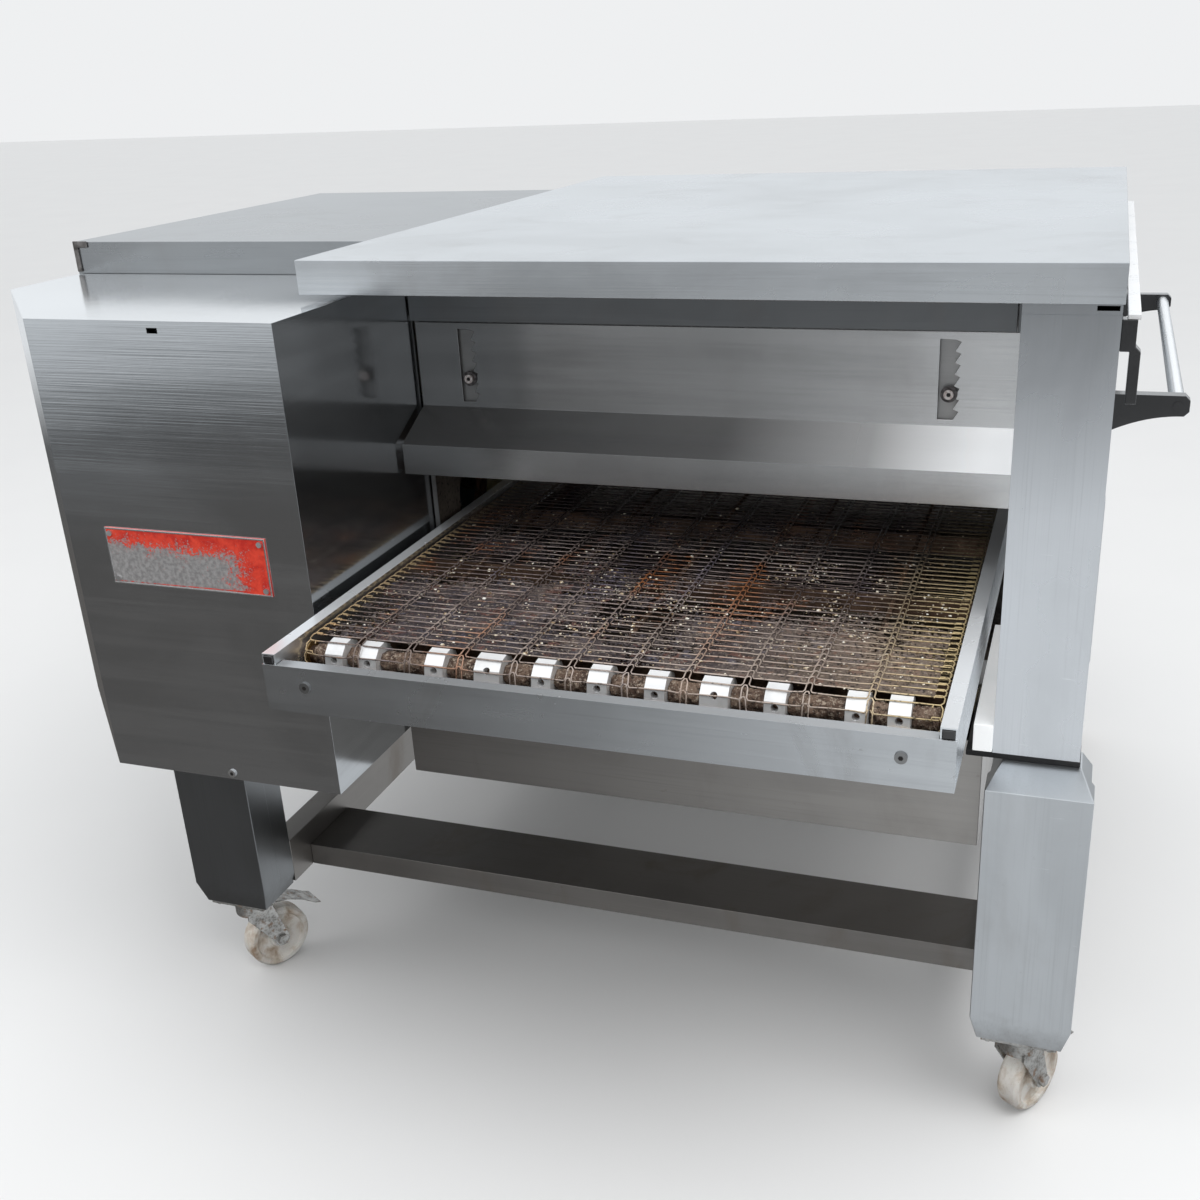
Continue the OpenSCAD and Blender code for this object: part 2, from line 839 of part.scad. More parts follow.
module baffle() {
    t = sheet_t;
    y = baffle_y;
    lip_y = y - baffle_reach;
    lip_z = baffle_low_z + baffle_lip_h;
    fold_z = lip_z + 39;
    plate_top_z = fold_z + 125;
    difference() {
        along_x(baffle_x0, tunnel_x1)
        polygon([[y, plate_top_z], [y, fold_z + 1], [lip_y, lip_z + 1], [lip_y, baffle_low_z],
            [lip_y + 14, baffle_low_z], [lip_y + 14, baffle_low_z + t], [lip_y + t, baffle_low_z + t],
            [lip_y + t, lip_z - 0.2], [y + t, fold_z - 0.2], [y + t, plate_top_z]]);
        for (x = CLAMP_X) {
            translate([x, 0, slot_low_z]) along_y(y - over, y + t + over) clamp_slot();
        }
    }
}

module near_baffle() {
    color("darkgray") placed() baffle();
}

module far_baffle() {
    color("darkgray") placed() mirror([0, 1, 0]) baffle();
}

module baffle_clamp_screws() {
    color("gainsboro") placed()
    both_ends() {
        for (x = CLAMP_X) {
            rod_y(11, baffle_y - 2.2, baffle_y - 0.2, x, clamp_z);
            rod_y(6.5, baffle_y - 6, baffle_y - 2, x, clamp_z);
            rod_y(clamp_r, baffle_y - 1, -tunnel_half - seat, x, clamp_z);
        }
    }
}

// ---- Door ----

module door() {
    color("lightgray") placed()
    union() {
        difference() {
            box([door_x0, -door_half, door_low_z], [post_x1, door_half, door_top_z]);
            box([door_x0 - over, -door_half + sheet_t, door_low_z + sheet_t],
                [post_x1 - sheet_t, door_half - sheet_t, door_top_z - sheet_t]);
        }
        for (side = [-1, 1]) {
            mid = side * (door_half + 4);
            rod_y(hinge_r, mid - 8, mid + 8, hinge_x, hinge_z);
        }
    }
}

module door_liner() {
    y = door_half - sheet_t - seat;
    color("gray") placed()
    difference() {
        box([door_x0, -y, door_low_z + sheet_t + seat], [door_x0 + 22, y, door_top_z - sheet_t - seat]);
        box([door_x0 + 2, -y + 2, door_low_z + sheet_t + 3],
            [door_x0 + 23, y - 2, door_top_z - sheet_t - 3]);
    }
}

module door_handle() {
    color("silver") placed()
    difference() {
        rod_y(handle_r, -handle_half, handle_half, handle_x, handle_z);
        rod_y(handle_r - 1.5, -handle_half - over, handle_half + over, handle_x, handle_z);
    }
}

// Side view of a handle bracket: level on top, swept up below
module handle_bracket_outline() {
    root_x = post_x1 + seat;
    tip_x = handle_tip_x;
    top_z = handle_z + 13;
    low_root_z = top_z - 48;
    low_tip_z = top_z - 26;
    steps = 10;
    under = [for (i = [0:steps]) [root_x + (tip_x - 6 - root_x) * i / steps,
        low_tip_z - (low_tip_z - low_root_z) * pow(1 - i / steps, 2)]];
    polygon(concat([[root_x, top_z]], under, [[tip_x, low_tip_z + 6], [tip_x, top_z - 6],
        [tip_x - 6, top_z]]));
}

module handle_brackets() {
    y0 = -handle_half - handle_bracket_t - seat;
    color("black") placed()
    both_ends() {
        difference() {
            along_y(y0, -handle_half - seat) handle_bracket_outline();
            rod_y(3 + fit, y0 - over, -handle_half, handle_x, handle_z);
        }
        rod_y(6, y0 - 2.5, y0, handle_x, handle_z);
        rod_y(3, y0 - over, -handle_half - over, handle_x, handle_z);
    }
}

module edge_guard() {
    color("whitesmoke") placed()
    box([post_x1 + 6, -post_half + 10, 1130], [post_x1 + 20, post_half - 10, 1136]);
}

module guard_brackets() {
    x = post_x1;
    y0 = -post_half + 10;
    color("black") placed()
    both_ends()
    along_y(y0, y0 + 20)
    polygon([[x + seat, 1130 - seat], [x + seat, 1094], [x + 11, 1094], [x + 11, 1035],
        [x + 23, 1035], [x + 23, 1094], [x + 17, 1100], [x + 17, 1130 - seat]]);
}

// ---- Heat and air ----

// One air finger with a row of nozzles in the face towards the belt
module air_finger(y, z, height, nozzle_z) {
    x0 = tunnel_x0 + sheet_t + 1;
    x1 = rail_in_x + 2;
    half = finger_w / 2;
    t = 1.5;
    difference() {
        box([x0, y - half, z], [x1, y + half, z + height]);
        box([x0 - over, y - half + t, z + t], [x1 - t, y + half - t, z + height - t]);
        for (x = [-350:100:350], dy = [-35, 35]) {
            rod_z(6, nozzle_z - 3, nozzle_z + 3, x, y + dy);
        }
    }
}

module air_ducts() {
    color("lightslategray") placed()
    for (y = FINGER_Y) {
        air_finger(y, upper_finger_z, 70, upper_finger_z);
        air_finger(y, lower_finger_z, 70, lower_finger_z + 70);
    }
}

module heating_elements() {
    color("firebrick") placed()
    for (y = [-fan_y, fan_y], ring_r = [145, 168]) {
        translate([housing_x1 - 30, y, fan_z]) rotate([0, 90, 0])
        rotate_extrude() translate([ring_r, 0]) circle(5, $fn = 24);
    }
}

// A fan wheel with flat blades between a back plate and a front ring
module fan_wheel(y) {
    back_x = housing_x1 - 154;
    wheel_r = 135;
    blade_w = 90;
    translate([back_x, y, fan_z]) rotate([0, 90, 0]) {
        cylinder(r = wheel_r, h = 3);
        cylinder(r = 26, h = 45);
        translate([0, 0, -150]) cylinder(r = 10 - fit, h = 151);
        for (i = [0:11]) {
            rotate([0, 0, i * 30]) translate([92, -1.5, 2]) cube([40, 3, blade_w]);
        }
        translate([0, 0, blade_w]) difference() {
            cylinder(r = wheel_r, h = 3);
            translate([0, 0, -over]) cylinder(r = 96, h = 3 + 2 * over);
        }
    }
}

module near_fan() {
    color("silver") placed() fan_wheel(-fan_y);
}

module far_fan() {
    color("silver") placed() fan_wheel(fan_y);
}

module fan_motors() {
    x1 = housing_x1 - 200;
    x0 = x1 - 230;
    floor_z = cabinet_low_z + sheet_t + seat;
    color("cadetblue") placed()
    for (y = [-fan_y, fan_y]) {
        difference() {
            union() {
                rod_x(75, x0, x1, y, fan_z);
                box([x0 + 50, y - 60, floor_z], [x1 - 50, y + 60, fan_z - 40]);
            }
            rod_x(10, x1 - 110, x1 + over, y, fan_z);
        }
    }
}

// ---- Controls ----

module control_panel() {
    color("dimgray") placed()
    on_panel()
    difference() {
        box([-110, -panel_t, 760], [110, -seat, 1050]);
        box([-75, -panel_t - over, 935], [75, -panel_t + 1, 1015]);
        rod_y(switch_r + fit, -panel_t - over, over, switch_x, control_z);
        for (x = [START_X, STOP_X]) rod_y(button_r + fit, -panel_t - over, over, x, control_z);
    }
}

module main_switch() {
    color("black") placed()
    on_panel() {
        rod_y(switch_r, -panel_t - 8, 12, switch_x, control_z);
        rod_y(22, -panel_t - 10, -panel_t - 0.3, switch_x, control_z);
        box([switch_x - 5, -panel_t - 18, control_z - 20], [switch_x + 5, -panel_t - 9, control_z + 20]);
        rod_y(10, 4, 12, switch_x, control_z);
    }
}

module push_button(x) {
    on_panel() {
        rod_y(button_r, -panel_t - 6, 12, x, control_z);
        rod_y(button_r + 3, 3, 6, x, control_z);
    }
}

module start_button() {
    color("green") placed() push_button(START_X);
}

module stop_button() {
    color("red") placed() push_button(STOP_X);
}

module power_cable() {
    x = -700;
    z = 560;
    y = -cabinet_front_y;
    bend = 40;
    color("black") placed()
    union() {
        rod_y(12, y - 8, y + 2, x, z);
        rod_y(17, y + seat, y + 20, x, z);
        rod_y(7, y + 19, y + 30, x, z);
        translate([x, y + 30, z - bend]) rotate([90, 0, 90]) rotate_extrude(angle = 90) translate([bend, 0])
        circle(7, $fn = 24);
        rod_z(7, 300, z - bend, x, y + 30 + bend);
    }
}

top_cover();
tunnel_liner();
insulation();
door_posts();
fascias();
face_panels();
belly_housing();
drive_cabinet();
electrics_cabinet();
fan_housing();
badge_plate();
panel_screws();
conveyor_rails();
rail_end_caps();
end_plates();
belt();
belt_supports();
crumb_trays();
filler_bars();
base_gaskets();
stand_legs();
side_beams();
stand_planks();
edge_guard();
guard_brackets();
air_ducts();
heating_elements();
fan_motors();
control_panel();
power_cable();
caster_plates();
gearmotor();
drive_chain();
shaft_bearings();
baffle_clamp_screws();
drive_shaft();
drive_hubs();
drive_sprocket();
idler_shaft();
idler_hubs();
motor_sprocket();
near_baffle();
far_baffle();
door();
door_liner();
door_handle();
handle_brackets();
near_fan();
far_fan();
near_right_fork();
near_left_fork();
far_right_fork();
far_left_fork();
near_right_wheel();
near_left_wheel();
far_right_wheel();
far_left_wheel();
main_switch();
start_button();
stop_button();
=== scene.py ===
"""Looks of the conveyor pizza oven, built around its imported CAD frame. All lengths are in metres."""

import json
import math

import bmesh
import bpy
import numpy as np
from mathutils import Matrix, Vector


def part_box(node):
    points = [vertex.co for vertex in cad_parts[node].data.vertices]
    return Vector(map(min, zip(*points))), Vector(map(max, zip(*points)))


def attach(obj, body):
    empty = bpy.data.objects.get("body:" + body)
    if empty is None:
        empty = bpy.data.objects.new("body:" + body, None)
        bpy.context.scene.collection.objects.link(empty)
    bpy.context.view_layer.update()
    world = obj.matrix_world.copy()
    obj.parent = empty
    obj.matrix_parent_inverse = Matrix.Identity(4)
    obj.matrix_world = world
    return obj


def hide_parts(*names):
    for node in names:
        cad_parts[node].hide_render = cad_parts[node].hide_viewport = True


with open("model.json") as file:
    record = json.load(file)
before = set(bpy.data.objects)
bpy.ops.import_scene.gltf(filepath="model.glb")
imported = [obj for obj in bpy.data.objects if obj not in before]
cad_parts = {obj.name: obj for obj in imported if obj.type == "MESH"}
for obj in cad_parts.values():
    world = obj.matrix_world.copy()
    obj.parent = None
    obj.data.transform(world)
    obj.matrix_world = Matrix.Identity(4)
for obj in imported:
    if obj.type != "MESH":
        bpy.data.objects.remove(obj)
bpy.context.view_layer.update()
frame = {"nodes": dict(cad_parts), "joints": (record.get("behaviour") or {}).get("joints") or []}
MM = 0.001
BELT_LOW, BELT_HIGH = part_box("belt")
# The middle of the belt. Materials and the belt's own pieces count X from here, because the frame's origin
# lies under the middle of the whole oven.
BELT_X = (BELT_LOW.x + BELT_HIGH.x) / 2


# ---------------------------------------------------------------------------
# Node graphs
# ---------------------------------------------------------------------------


# Every material by its name
MATERIALS = {}


class Shader:
    """A material's node graph, with a short method for each kind of node."""

    def __init__(self, name):
        self.material = bpy.data.materials.new(name)
        MATERIALS[name] = self.material
        self.material.use_nodes = True
        self.tree = self.material.node_tree
        self.tree.nodes.clear()
        self.output = self.add("ShaderNodeOutputMaterial")
        self.surface = self.add("ShaderNodeBsdfPrincipled")
        self.tree.links.new(self.surface.outputs["BSDF"], self.output.inputs["Surface"])
        shifted = self.add("ShaderNodeVectorMath", operation="SUBTRACT")
        self.feed(shifted.inputs[0], self.add("ShaderNodeTexCoord").outputs["Object"])
        shifted.inputs[1].default_value = (BELT_X, 0, 0)
        self.place = shifted.outputs[0]

    def add(self, kind, **settings):
        node = self.tree.nodes.new(kind)
        for key, value in settings.items():
            setattr(node, key, value)
        return node

    def feed(self, socket, value):
        """Joins a socket to another node's output, or sets it to a plain value."""
        if isinstance(value, bpy.types.NodeSocket):
            self.tree.links.new(value, socket)
        elif isinstance(value, (tuple, list)) and len(value) == 3 and socket.type == "RGBA":
            socket.default_value = (*value, 1.0)
        else:
            socket.default_value = value

    def math(self, operation, a, b=0.0, c=None, clamp=False):
        node = self.add("ShaderNodeMath", operation=operation, use_clamp=clamp)
        self.feed(node.inputs[0], a)
        self.feed(node.inputs[1], b)
        if c is not None:
            self.feed(node.inputs[2], c)
        return node.outputs[0]

    def times(self, a, b):
        return self.math("MULTIPLY", a, b)

    def plus(self, a, b):
        return self.math("ADD", a, b)

    def minus(self, a, b):
        return self.math("SUBTRACT", a, b)

    def axis(self, name):
        """One coordinate of the point in metres, with X counted from the middle of the belt."""
        if not hasattr(self, "_axes"):
            self._axes = self.add("ShaderNodeSeparateXYZ")
            self.feed(self._axes.inputs[0], self.place)
        return self._axes.outputs[name]

    def facing(self, name):
        """Size of one component of the surface normal, from 0 to 1."""
        if not hasattr(self, "_normal"):
            geometry = self.add("ShaderNodeNewGeometry")
            self._normal = self.add("ShaderNodeSeparateXYZ")
            self.feed(self._normal.inputs[0], geometry.outputs["True Normal"])
        return self._normal.outputs[name]

    def noise(self, scale, detail=3.0, rough=0.55, stretch=(1, 1, 1), shift=0.0, distort=0.0):
        """Noise from 0 to 1. Scale is in features per metre along each axis, times stretch."""
        mapping = self.add("ShaderNodeMapping")
        self.feed(mapping.inputs["Vector"], self.place)
        mapping.inputs["Scale"].default_value = tuple(scale * s for s in stretch)
        mapping.inputs["Location"].default_value = (shift, shift * 0.7, shift * 1.3)
        node = self.add("ShaderNodeTexNoise")
        self.feed(node.inputs["Vector"], mapping.outputs[0])
        node.inputs["Scale"].default_value = 1.0
        node.inputs["Detail"].default_value = detail
        node.inputs["Roughness"].default_value = rough
        node.inputs["Distortion"].default_value = distort
        return node.outputs["Fac"]

    def cells(self, scale, shift=0.0):
        """Distance to the nearest of many scattered points, for specks and pits."""
        mapping = self.add("ShaderNodeMapping")
        self.feed(mapping.inputs["Vector"], self.place)
        mapping.inputs["Scale"].default_value = (scale, scale, scale)
        mapping.inputs["Location"].default_value = (shift, shift, shift)
        node = self.add("ShaderNodeTexVoronoi")
        self.feed(node.inputs["Vector"], mapping.outputs[0])
        node.inputs["Scale"].default_value = 1.0
        return node.outputs["Distance"]

    def span(self, value, low, high, out_low=0.0, out_high=1.0, smooth=True):
        """Maps low..high to out_low..out_high, held at both ends."""
        node = self.add("ShaderNodeMapRange", interpolation_type="SMOOTHSTEP" if smooth else "LINEAR")
        node.clamp = True
        for socket, number in zip(node.inputs[:5], (value, low, high, out_low, out_high)):
            self.feed(socket, number)
        return node.outputs[0]

    def mix(self, a, b, factor, blend="MIX"):
        node = self.add("ShaderNodeMix", data_type="RGBA", blend_type=blend)
        node.clamp_factor = True
        self.feed(node.inputs[0], factor)
        self.feed(node.inputs[6], a)
        self.feed(node.inputs[7], b)
        return node.outputs[2]

    def multiply(self, a, b):
        return self.mix(a, b, 1.0, "MULTIPLY")

    def levels(self, value, stops):
        """Grey levels through (value, level) stops, for values from -1 to 1."""
        place = self.math("MULTIPLY_ADD", value, 0.5, 0.5)
        return self.ramp(place, [(0.5 + 0.5 * at, (level, level, level)) for at, level in stops])

    def ramp(self, factor, stops):
        """A colour ramp through (position, (r, g, b)) stops."""
        node = self.add("ShaderNodeValToRGB")
        elements = node.color_ramp.elements
        while len(elements) < len(stops):
            elements.new(0.5)
        for element, (position, colour) in zip(elements, stops):
            element.position = position
            element.color = (*colour, 1.0)
        self.feed(node.inputs[0], factor)
        return node.outputs[0]

    def bump(self, height, strength, distance, under=None):
        node = self.add("ShaderNodeBump")
        node.inputs["Strength"].default_value = strength
        node.inputs["Distance"].default_value = distance
        self.feed(node.inputs["Height"], height)
        if under is not None:
            self.feed(node.inputs["Normal"], under)
        return node.outputs[0]

    def set(self, **values):
        names = {"colour": "Base Color", "metal": "Metallic", "rough": "Roughness", "normal": "Normal",
                 "coat": "Coat Weight", "coat_rough": "Coat Roughness", "sheen": "Sheen Weight",
                 "subsurface": "Subsurface Weight", "glow": "Emission Strength",
                 "glow_colour": "Emission Color", "specular": "Specular IOR Level"}
        for key, value in values.items():
            self.feed(self.surface.inputs[names[key]], value)
        return self.material


def brushed_grain(shader, fine=420.0, long=5.0, shift=0.0):
    """Fine brush lines: along X on faces that look along Y or Z, and along Y on faces that look along X."""
    along_x = shader.noise(1.0, 2.0, 0.6, (long, fine, fine), shift)
    along_y = shader.noise(1.0, 2.0, 0.6, (fine, long, fine), shift + 3.1)
    side = shader.math("GREATER_THAN", shader.math("ABSOLUTE", shader.facing("X")), 0.72)
    return shader.mix(along_x, along_y, side)


def steel(name, tone, rough=0.3, tint=(1.0, 1.0, 1.0), grime=0.0, low_dirt=None, upright=False,
          metal=0.97, painted_top_light=0.0, painted_side_shade=0.0, painted_left_shade=0.0, across=None, painted_glow_across=None, rise=None,
          shift=0.0):
    """Brushed stainless steel with fine brush lines, wiped bands, faint stains and a few scratches.

    painted_top_light lightens level faces as a painted highlight, painted_side_shade darkens faces that look
    along X and painted_left_shade darkens the left half, both as painted shade. across and rise give stops of
    brightness against X and height, which are painted light and shade. slope gives stops of painted sheen
    against X, on faces that look up, and makes them glow."""
    s = Shader(name)
    base = tuple(tone * c for c in tint)
    grain = s.noise(1.0, 2.0, 0.6, (380.0, 380.0, 5.0), shift) if upright else brushed_grain(s, shift=shift)
    stretch = (2.4, 2.4, 0.5) if upright else (0.5, 0.5, 9.0)
    bands = s.noise(3.0, 4.0, 0.55, stretch, shift + 2.0, 0.3)
    cloud = s.noise(4.0, 5.0, 0.6, shift=shift + 1.0, distort=0.5)
    colour = s.mix(tuple(0.90 * c for c in base), base, s.span(cloud, 0.36, 0.60))
    colour = s.mix(colour, tuple(min(1.0, 1.06 * c) for c in base), s.span(bands, 0.45, 0.65, 0.0, 0.8))
    colour = s.mix(colour, tuple(0.82 * c for c in base), s.span(grain, 0.50, 0.80, 0.0, 0.45))
    scratch = s.noise(1.0, 1.0, 0.4, (30.0, 800.0, 500.0), shift + 7.0, 1.0)
    scratches = s.span(scratch, 0.76, 0.79, 0.0, 0.3)
    colour = s.mix(colour, tuple(min(1.0, 1.3 * c) for c in base), scratches)
    roughness = s.plus(rough, s.times(s.minus(bands, 0.5), 0.10))
    roughness = s.plus(roughness, s.times(s.minus(cloud, 0.5), 0.10))
    if grime > 0:
        # Brown film of old grease, with a few runs and splashes
        film = s.noise(1.0, 5.0, 0.62, (7.0, 7.0, 3.0), shift + 11.0, 0.8)
        drops = s.noise(70.0, 3.0, 0.6, shift=shift + 13.0)
        mask = s.times(s.span(film, 0.50, 0.74), grime)
        mask = s.math("MAXIMUM", mask, s.times(s.span(drops, 0.70, 0.76), grime))
        colour = s.mix(colour, (0.17, 0.13, 0.095), mask)
        roughness = s.plus(roughness, s.times(mask, 0.2))
    if low_dirt is not None:
        # Dirt that gathers towards the floor, below the given height
        film = s.noise(24.0, 5.0, 0.62, shift=shift + 17.0)
        height = s.plus(s.axis("Z"), s.times(film, 0.14))
        mask = s.span(height, low_dirt, low_dirt + 0.14, 0.8, 0.0)
        colour = s.mix(colour, (0.15, 0.12, 0.095), mask)
        roughness = s.plus(roughness, s.times(mask, 0.25))
    metallic = metal
    # Painted highlight: level faces are lightened and made less metallic, as light from above makes them look
    if painted_top_light > 0:
        level = s.times(s.span(s.facing("Z"), 0.75, 0.95), painted_top_light)
        colour = s.mix(colour, (0.86, 0.88, 0.90), level)
        metallic = s.minus(metal, s.times(level, 0.6))
    # Painted shade: faces that look along X are darkened
    if painted_side_shade > 0:
        side = s.span(s.math("ABSOLUTE", s.facing("X")), 0.6, 0.9, 0.0, painted_side_shade)
        colour = s.mix(colour, tuple(0.25 * c for c in base), side)
    # Painted shade: the left half is darkened
    if painted_left_shade > 0:
        left = s.span(s.axis("X"), 0.25, -0.35, 0.0, painted_left_shade)
        colour = s.mix(colour, tuple(0.12 * c for c in base), left)
    # Painted light and shade: the colour is scaled by brightness stops against X
    if across is not None:
        colour = s.multiply(colour, s.levels(s.axis("X"), across))
    # Painted shade: the colour is scaled by brightness stops against height
    if rise is not None:
        centred = s.minus(s.axis("Z"), 0.5)
        colour = s.multiply(colour, s.levels(centred, [(at - 0.5, level) for at, level in rise]))
    # Painted sheen: on faces that look up, stops against X mix in a pale colour, take away metal and add a
    # glow, though nothing here is a lamp
    if painted_glow_across is not None:
        sheen = s.levels(s.axis("X"), painted_glow_across)
        up = s.span(s.facing("Z"), 0.60, 0.80)
        colour = s.mix(colour, (0.80, 0.81, 0.82), s.times(up, sheen))
        metallic = s.minus(metal, s.times(s.times(up, sheen), 0.75))
        light = s.mix((0.44, 0.45, 0.46), (0.62, 0.63, 0.64), bands)
        painted_glow = s.multiply(s.mix((0, 0, 0), sheen, up), light)
        s.set(glow=1.0, glow_colour=painted_glow)
    normal = s.bump(grain, 0.10, 0.0005)
    normal = s.bump(cloud, 0.05, 0.004, normal)
    return s.set(colour=colour, metal=metallic, rough=s.math("MAXIMUM", roughness, 0.1), normal=normal)


def oily_steel(name, stops, rough=0.55, metal=0.75, scale=14.0, shift=0.0):
    """Heat-darkened or rusty metal that mixes several colours by noise."""
    s = Shader(name)
    patch = s.noise(scale, 5.0, 0.62, shift=shift, distort=0.5)
    speck = s.noise(scale * 22.0, 3.0, 0.6, shift=shift + 5.0)
    colour = s.ramp(patch, stops)
    colour = s.mix(colour, tuple(0.35 * c for c in stops[0][1]), s.span(speck, 0.55, 0.72, 0.0, 0.8))
    roughness = s.span(speck, 0.3, 0.7, rough - 0.15, rough + 0.2, smooth=False)
    normal = s.bump(speck, 0.35, 0.0007)
    normal = s.bump(patch, 0.2, 0.002, normal)
    return s.set(colour=colour, metal=metal, rough=roughness, normal=normal)


def belt_wire():
    """Wire that is golden at the right edge, rust-orange along some columns and plum or brown elsewhere."""
    s = Shader("belt_wire")
    patch = s.noise(7.0, 5.0, 0.62, shift=2.0, distort=0.7)
    rust = s.noise(1.0, 5.0, 0.62, (13.0, 3.2, 3.2), 5.0, 0.6)
    fleck = s.noise(230.0, 3.0, 0.6, shift=9.0)
    colour = s.ramp(patch, [(0.30, (0.055, 0.038, 0.040)), (0.43, (0.17, 0.125, 0.115)),
                            (0.55, (0.34, 0.27, 0.25)), (0.70, (0.55, 0.46, 0.42))])
    colour = s.mix(colour, (0.52, 0.19, 0.06), s.span(rust, 0.54, 0.66, 0.0, 0.8))
    colour = s.mix(colour, (0.20, 0.18, 0.25), s.span(rust, 0.43, 0.32, 0.0, 0.65))
    near = s.span(s.plus(s.axis("Y"), s.times(patch, 0.25)), -0.40, -0.68)
    pale = s.times(near, s.span(s.axis("X"), -0.35, 0.30, 0.25, 0.85))
    colour = s.mix(colour, (0.66, 0.55, 0.47), pale)
    edge = s.span(s.plus(s.axis("X"), s.times(patch, 0.10)), 0.30, 0.44)
    colour = s.mix(colour, (0.74, 0.58, 0.30), s.times(edge, 0.85))
    tips = s.span(s.axis("X"), -0.372, -0.390)
    colour = s.mix(colour, (0.70, 0.52, 0.28), s.times(tips, 0.75))
    # Painted shade: the wires darken farther into the oven, where the tunnel shades them
    tunnel_shade = s.span(s.axis("Y"), -0.50, -0.28)
    colour = s.mix(colour, (0.045, 0.032, 0.03), s.times(tunnel_shade, 0.8))
    colour = s.mix(colour, (0.03, 0.02, 0.018), s.span(fleck, 0.55, 0.70, 0.0, 0.85))
    roughness = s.span(fleck, 0.3, 0.7, 0.34, 0.62, smooth=False)
    return s.set(colour=colour, metal=0.55, rough=roughness, normal=s.bump(fleck, 0.5, 0.0004))


def residue():
    """Burnt dough and flour baked between the wires: grey-brown with pale and tarry patches."""
    s = Shader("belt_residue")
    patch = s.noise(9.0, 5.0, 0.65, shift=12.0, distort=0.8)
    lump = s.noise(210.0, 5.0, 0.72, shift=3.0)
    fine = s.noise(700.0, 3.0, 0.6, shift=6.0)
    colour = s.ramp(patch, [(0.32, (0.022, 0.016, 0.016)), (0.45, (0.050, 0.038, 0.042)),
                            (0.57, (0.100, 0.078, 0.074)), (0.72, (0.20, 0.150, 0.118))])
    tint = s.noise(34.0, 4.0, 0.7, shift=21.0, distort=1.0)
    colour = s.mix(colour, (0.085, 0.080, 0.110), s.span(tint, 0.56, 0.64, 0.0, 0.8))
    colour = s.mix(colour, (0.150, 0.060, 0.045), s.span(tint, 0.45, 0.38, 0.0, 0.7))
    right = s.span(s.axis("X"), 0.05, 0.38)
    colour = s.mix(colour, (0.32, 0.24, 0.17), s.times(right, 0.45))
    colour = s.mix(colour, (0.52, 0.44, 0.34), s.span(lump, 0.585, 0.66, 0.0, 0.85))
    colour = s.mix(colour, (0.010, 0.007, 0.007), s.span(lump, 0.47, 0.39, 0.0, 0.95))
    colour = s.mix(colour, (0.70, 0.65, 0.55), s.span(fine, 0.64, 0.72, 0.0, 0.75))
    normal = s.bump(lump, 1.0, 0.003)
    return s.set(colour=colour, rough=0.82, normal=s.bump(fine, 0.6, 0.0006, normal))


def crumb():
    """Baked crumbs and flour, from pale yellow to burnt brown."""
    s = Shader("crumb")
    tone = s.noise(160.0, 2.0, 0.5, shift=1.0)
    fine = s.noise(1400.0, 3.0, 0.6, shift=4.0)
    colour = s.ramp(tone, [(0.34, (0.09, 0.055, 0.035)), (0.44, (0.40, 0.28, 0.16)),
                           (0.54, (0.70, 0.62, 0.48)), (0.66, (0.90, 0.88, 0.82))])
    colour = s.mix(colour, (0.12, 0.07, 0.04), s.span(fine, 0.55, 0.75, 0.0, 0.6))
    return s.set(colour=colour, rough=0.9, normal=s.bump(fine, 0.6, 0.0005))


def crust():
    """Rust and caked crumbs on a roller."""
    s = Shader("roller_crust")
    patch = s.noise(34.0, 5.0, 0.65, shift=3.0, distort=0.8)
    fine = s.noise(420.0, 4.0, 0.65, shift=8.0)
    pits = s.cells(260.0, 2.0)
    colour = s.ramp(patch, [(0.30, (0.035, 0.024, 0.020)), (0.45, (0.110, 0.068, 0.050)),
                            (0.58, (0.215, 0.145, 0.105)), (0.74, (0.34, 0.26, 0.20))])
    chip = s.noise(150.0, 5.0, 0.75, shift=15.0)
    colour = s.mix(colour, (0.50, 0.41, 0.32), s.span(chip, 0.55, 0.63, 0.0, 0.85))
    colour = s.mix(colour, (0.62, 0.54, 0.44), s.span(fine, 0.56, 0.66, 0.0, 0.8))
    colour = s.mix(colour, (0.02, 0.014, 0.012), s.span(chip, 0.46, 0.38, 0.0, 0.9))
    colour = s.mix(colour, (0.02, 0.013, 0.01), s.span(pits, 0.22, 0.05, 0.0, 0.8))
    normal = s.bump(fine, 0.8, 0.0012)
    normal = s.bump(chip, 1.0, 0.002, normal)
    return s.set(colour=colour, metal=0.1, rough=0.85, normal=normal)


def plastic(name, colour, rough=0.35, coat=0.0, texture=900.0, strength=0.08, dust=0.25, lit=0.0):
    """Moulded plastic, rubber or paint with a fine grain and settled dust. lit makes up for light that a
    deep, narrow place would catch from the side."""
    s = Shader(name)
    grain = s.noise(texture, 2.0, 0.5, shift=1.5)
    cloud = s.noise(18.0, 4.0, 0.6, shift=6.0)
    up = s.span(s.facing("Z"), 0.2, 0.95)
    powder = s.times(s.times(s.span(cloud, 0.40, 0.70), up), dust)
    faded = tuple(min(1.0, 1.5 * c + 0.012) for c in colour)
    base = s.mix(colour, faded, s.span(cloud, 0.35, 0.7, 0.0, 0.5))
    base = s.mix(base, (0.42, 0.38, 0.33), powder)
    roughness = s.plus(s.span(grain, 0.3, 0.7, rough - 0.05, rough + 0.08, smooth=False), powder)
    return s.set(colour=base, rough=roughness, coat=coat, coat_rough=0.12, glow=lit, glow_colour=base,
                 normal=s.bump(grain, strength, 0.0004))


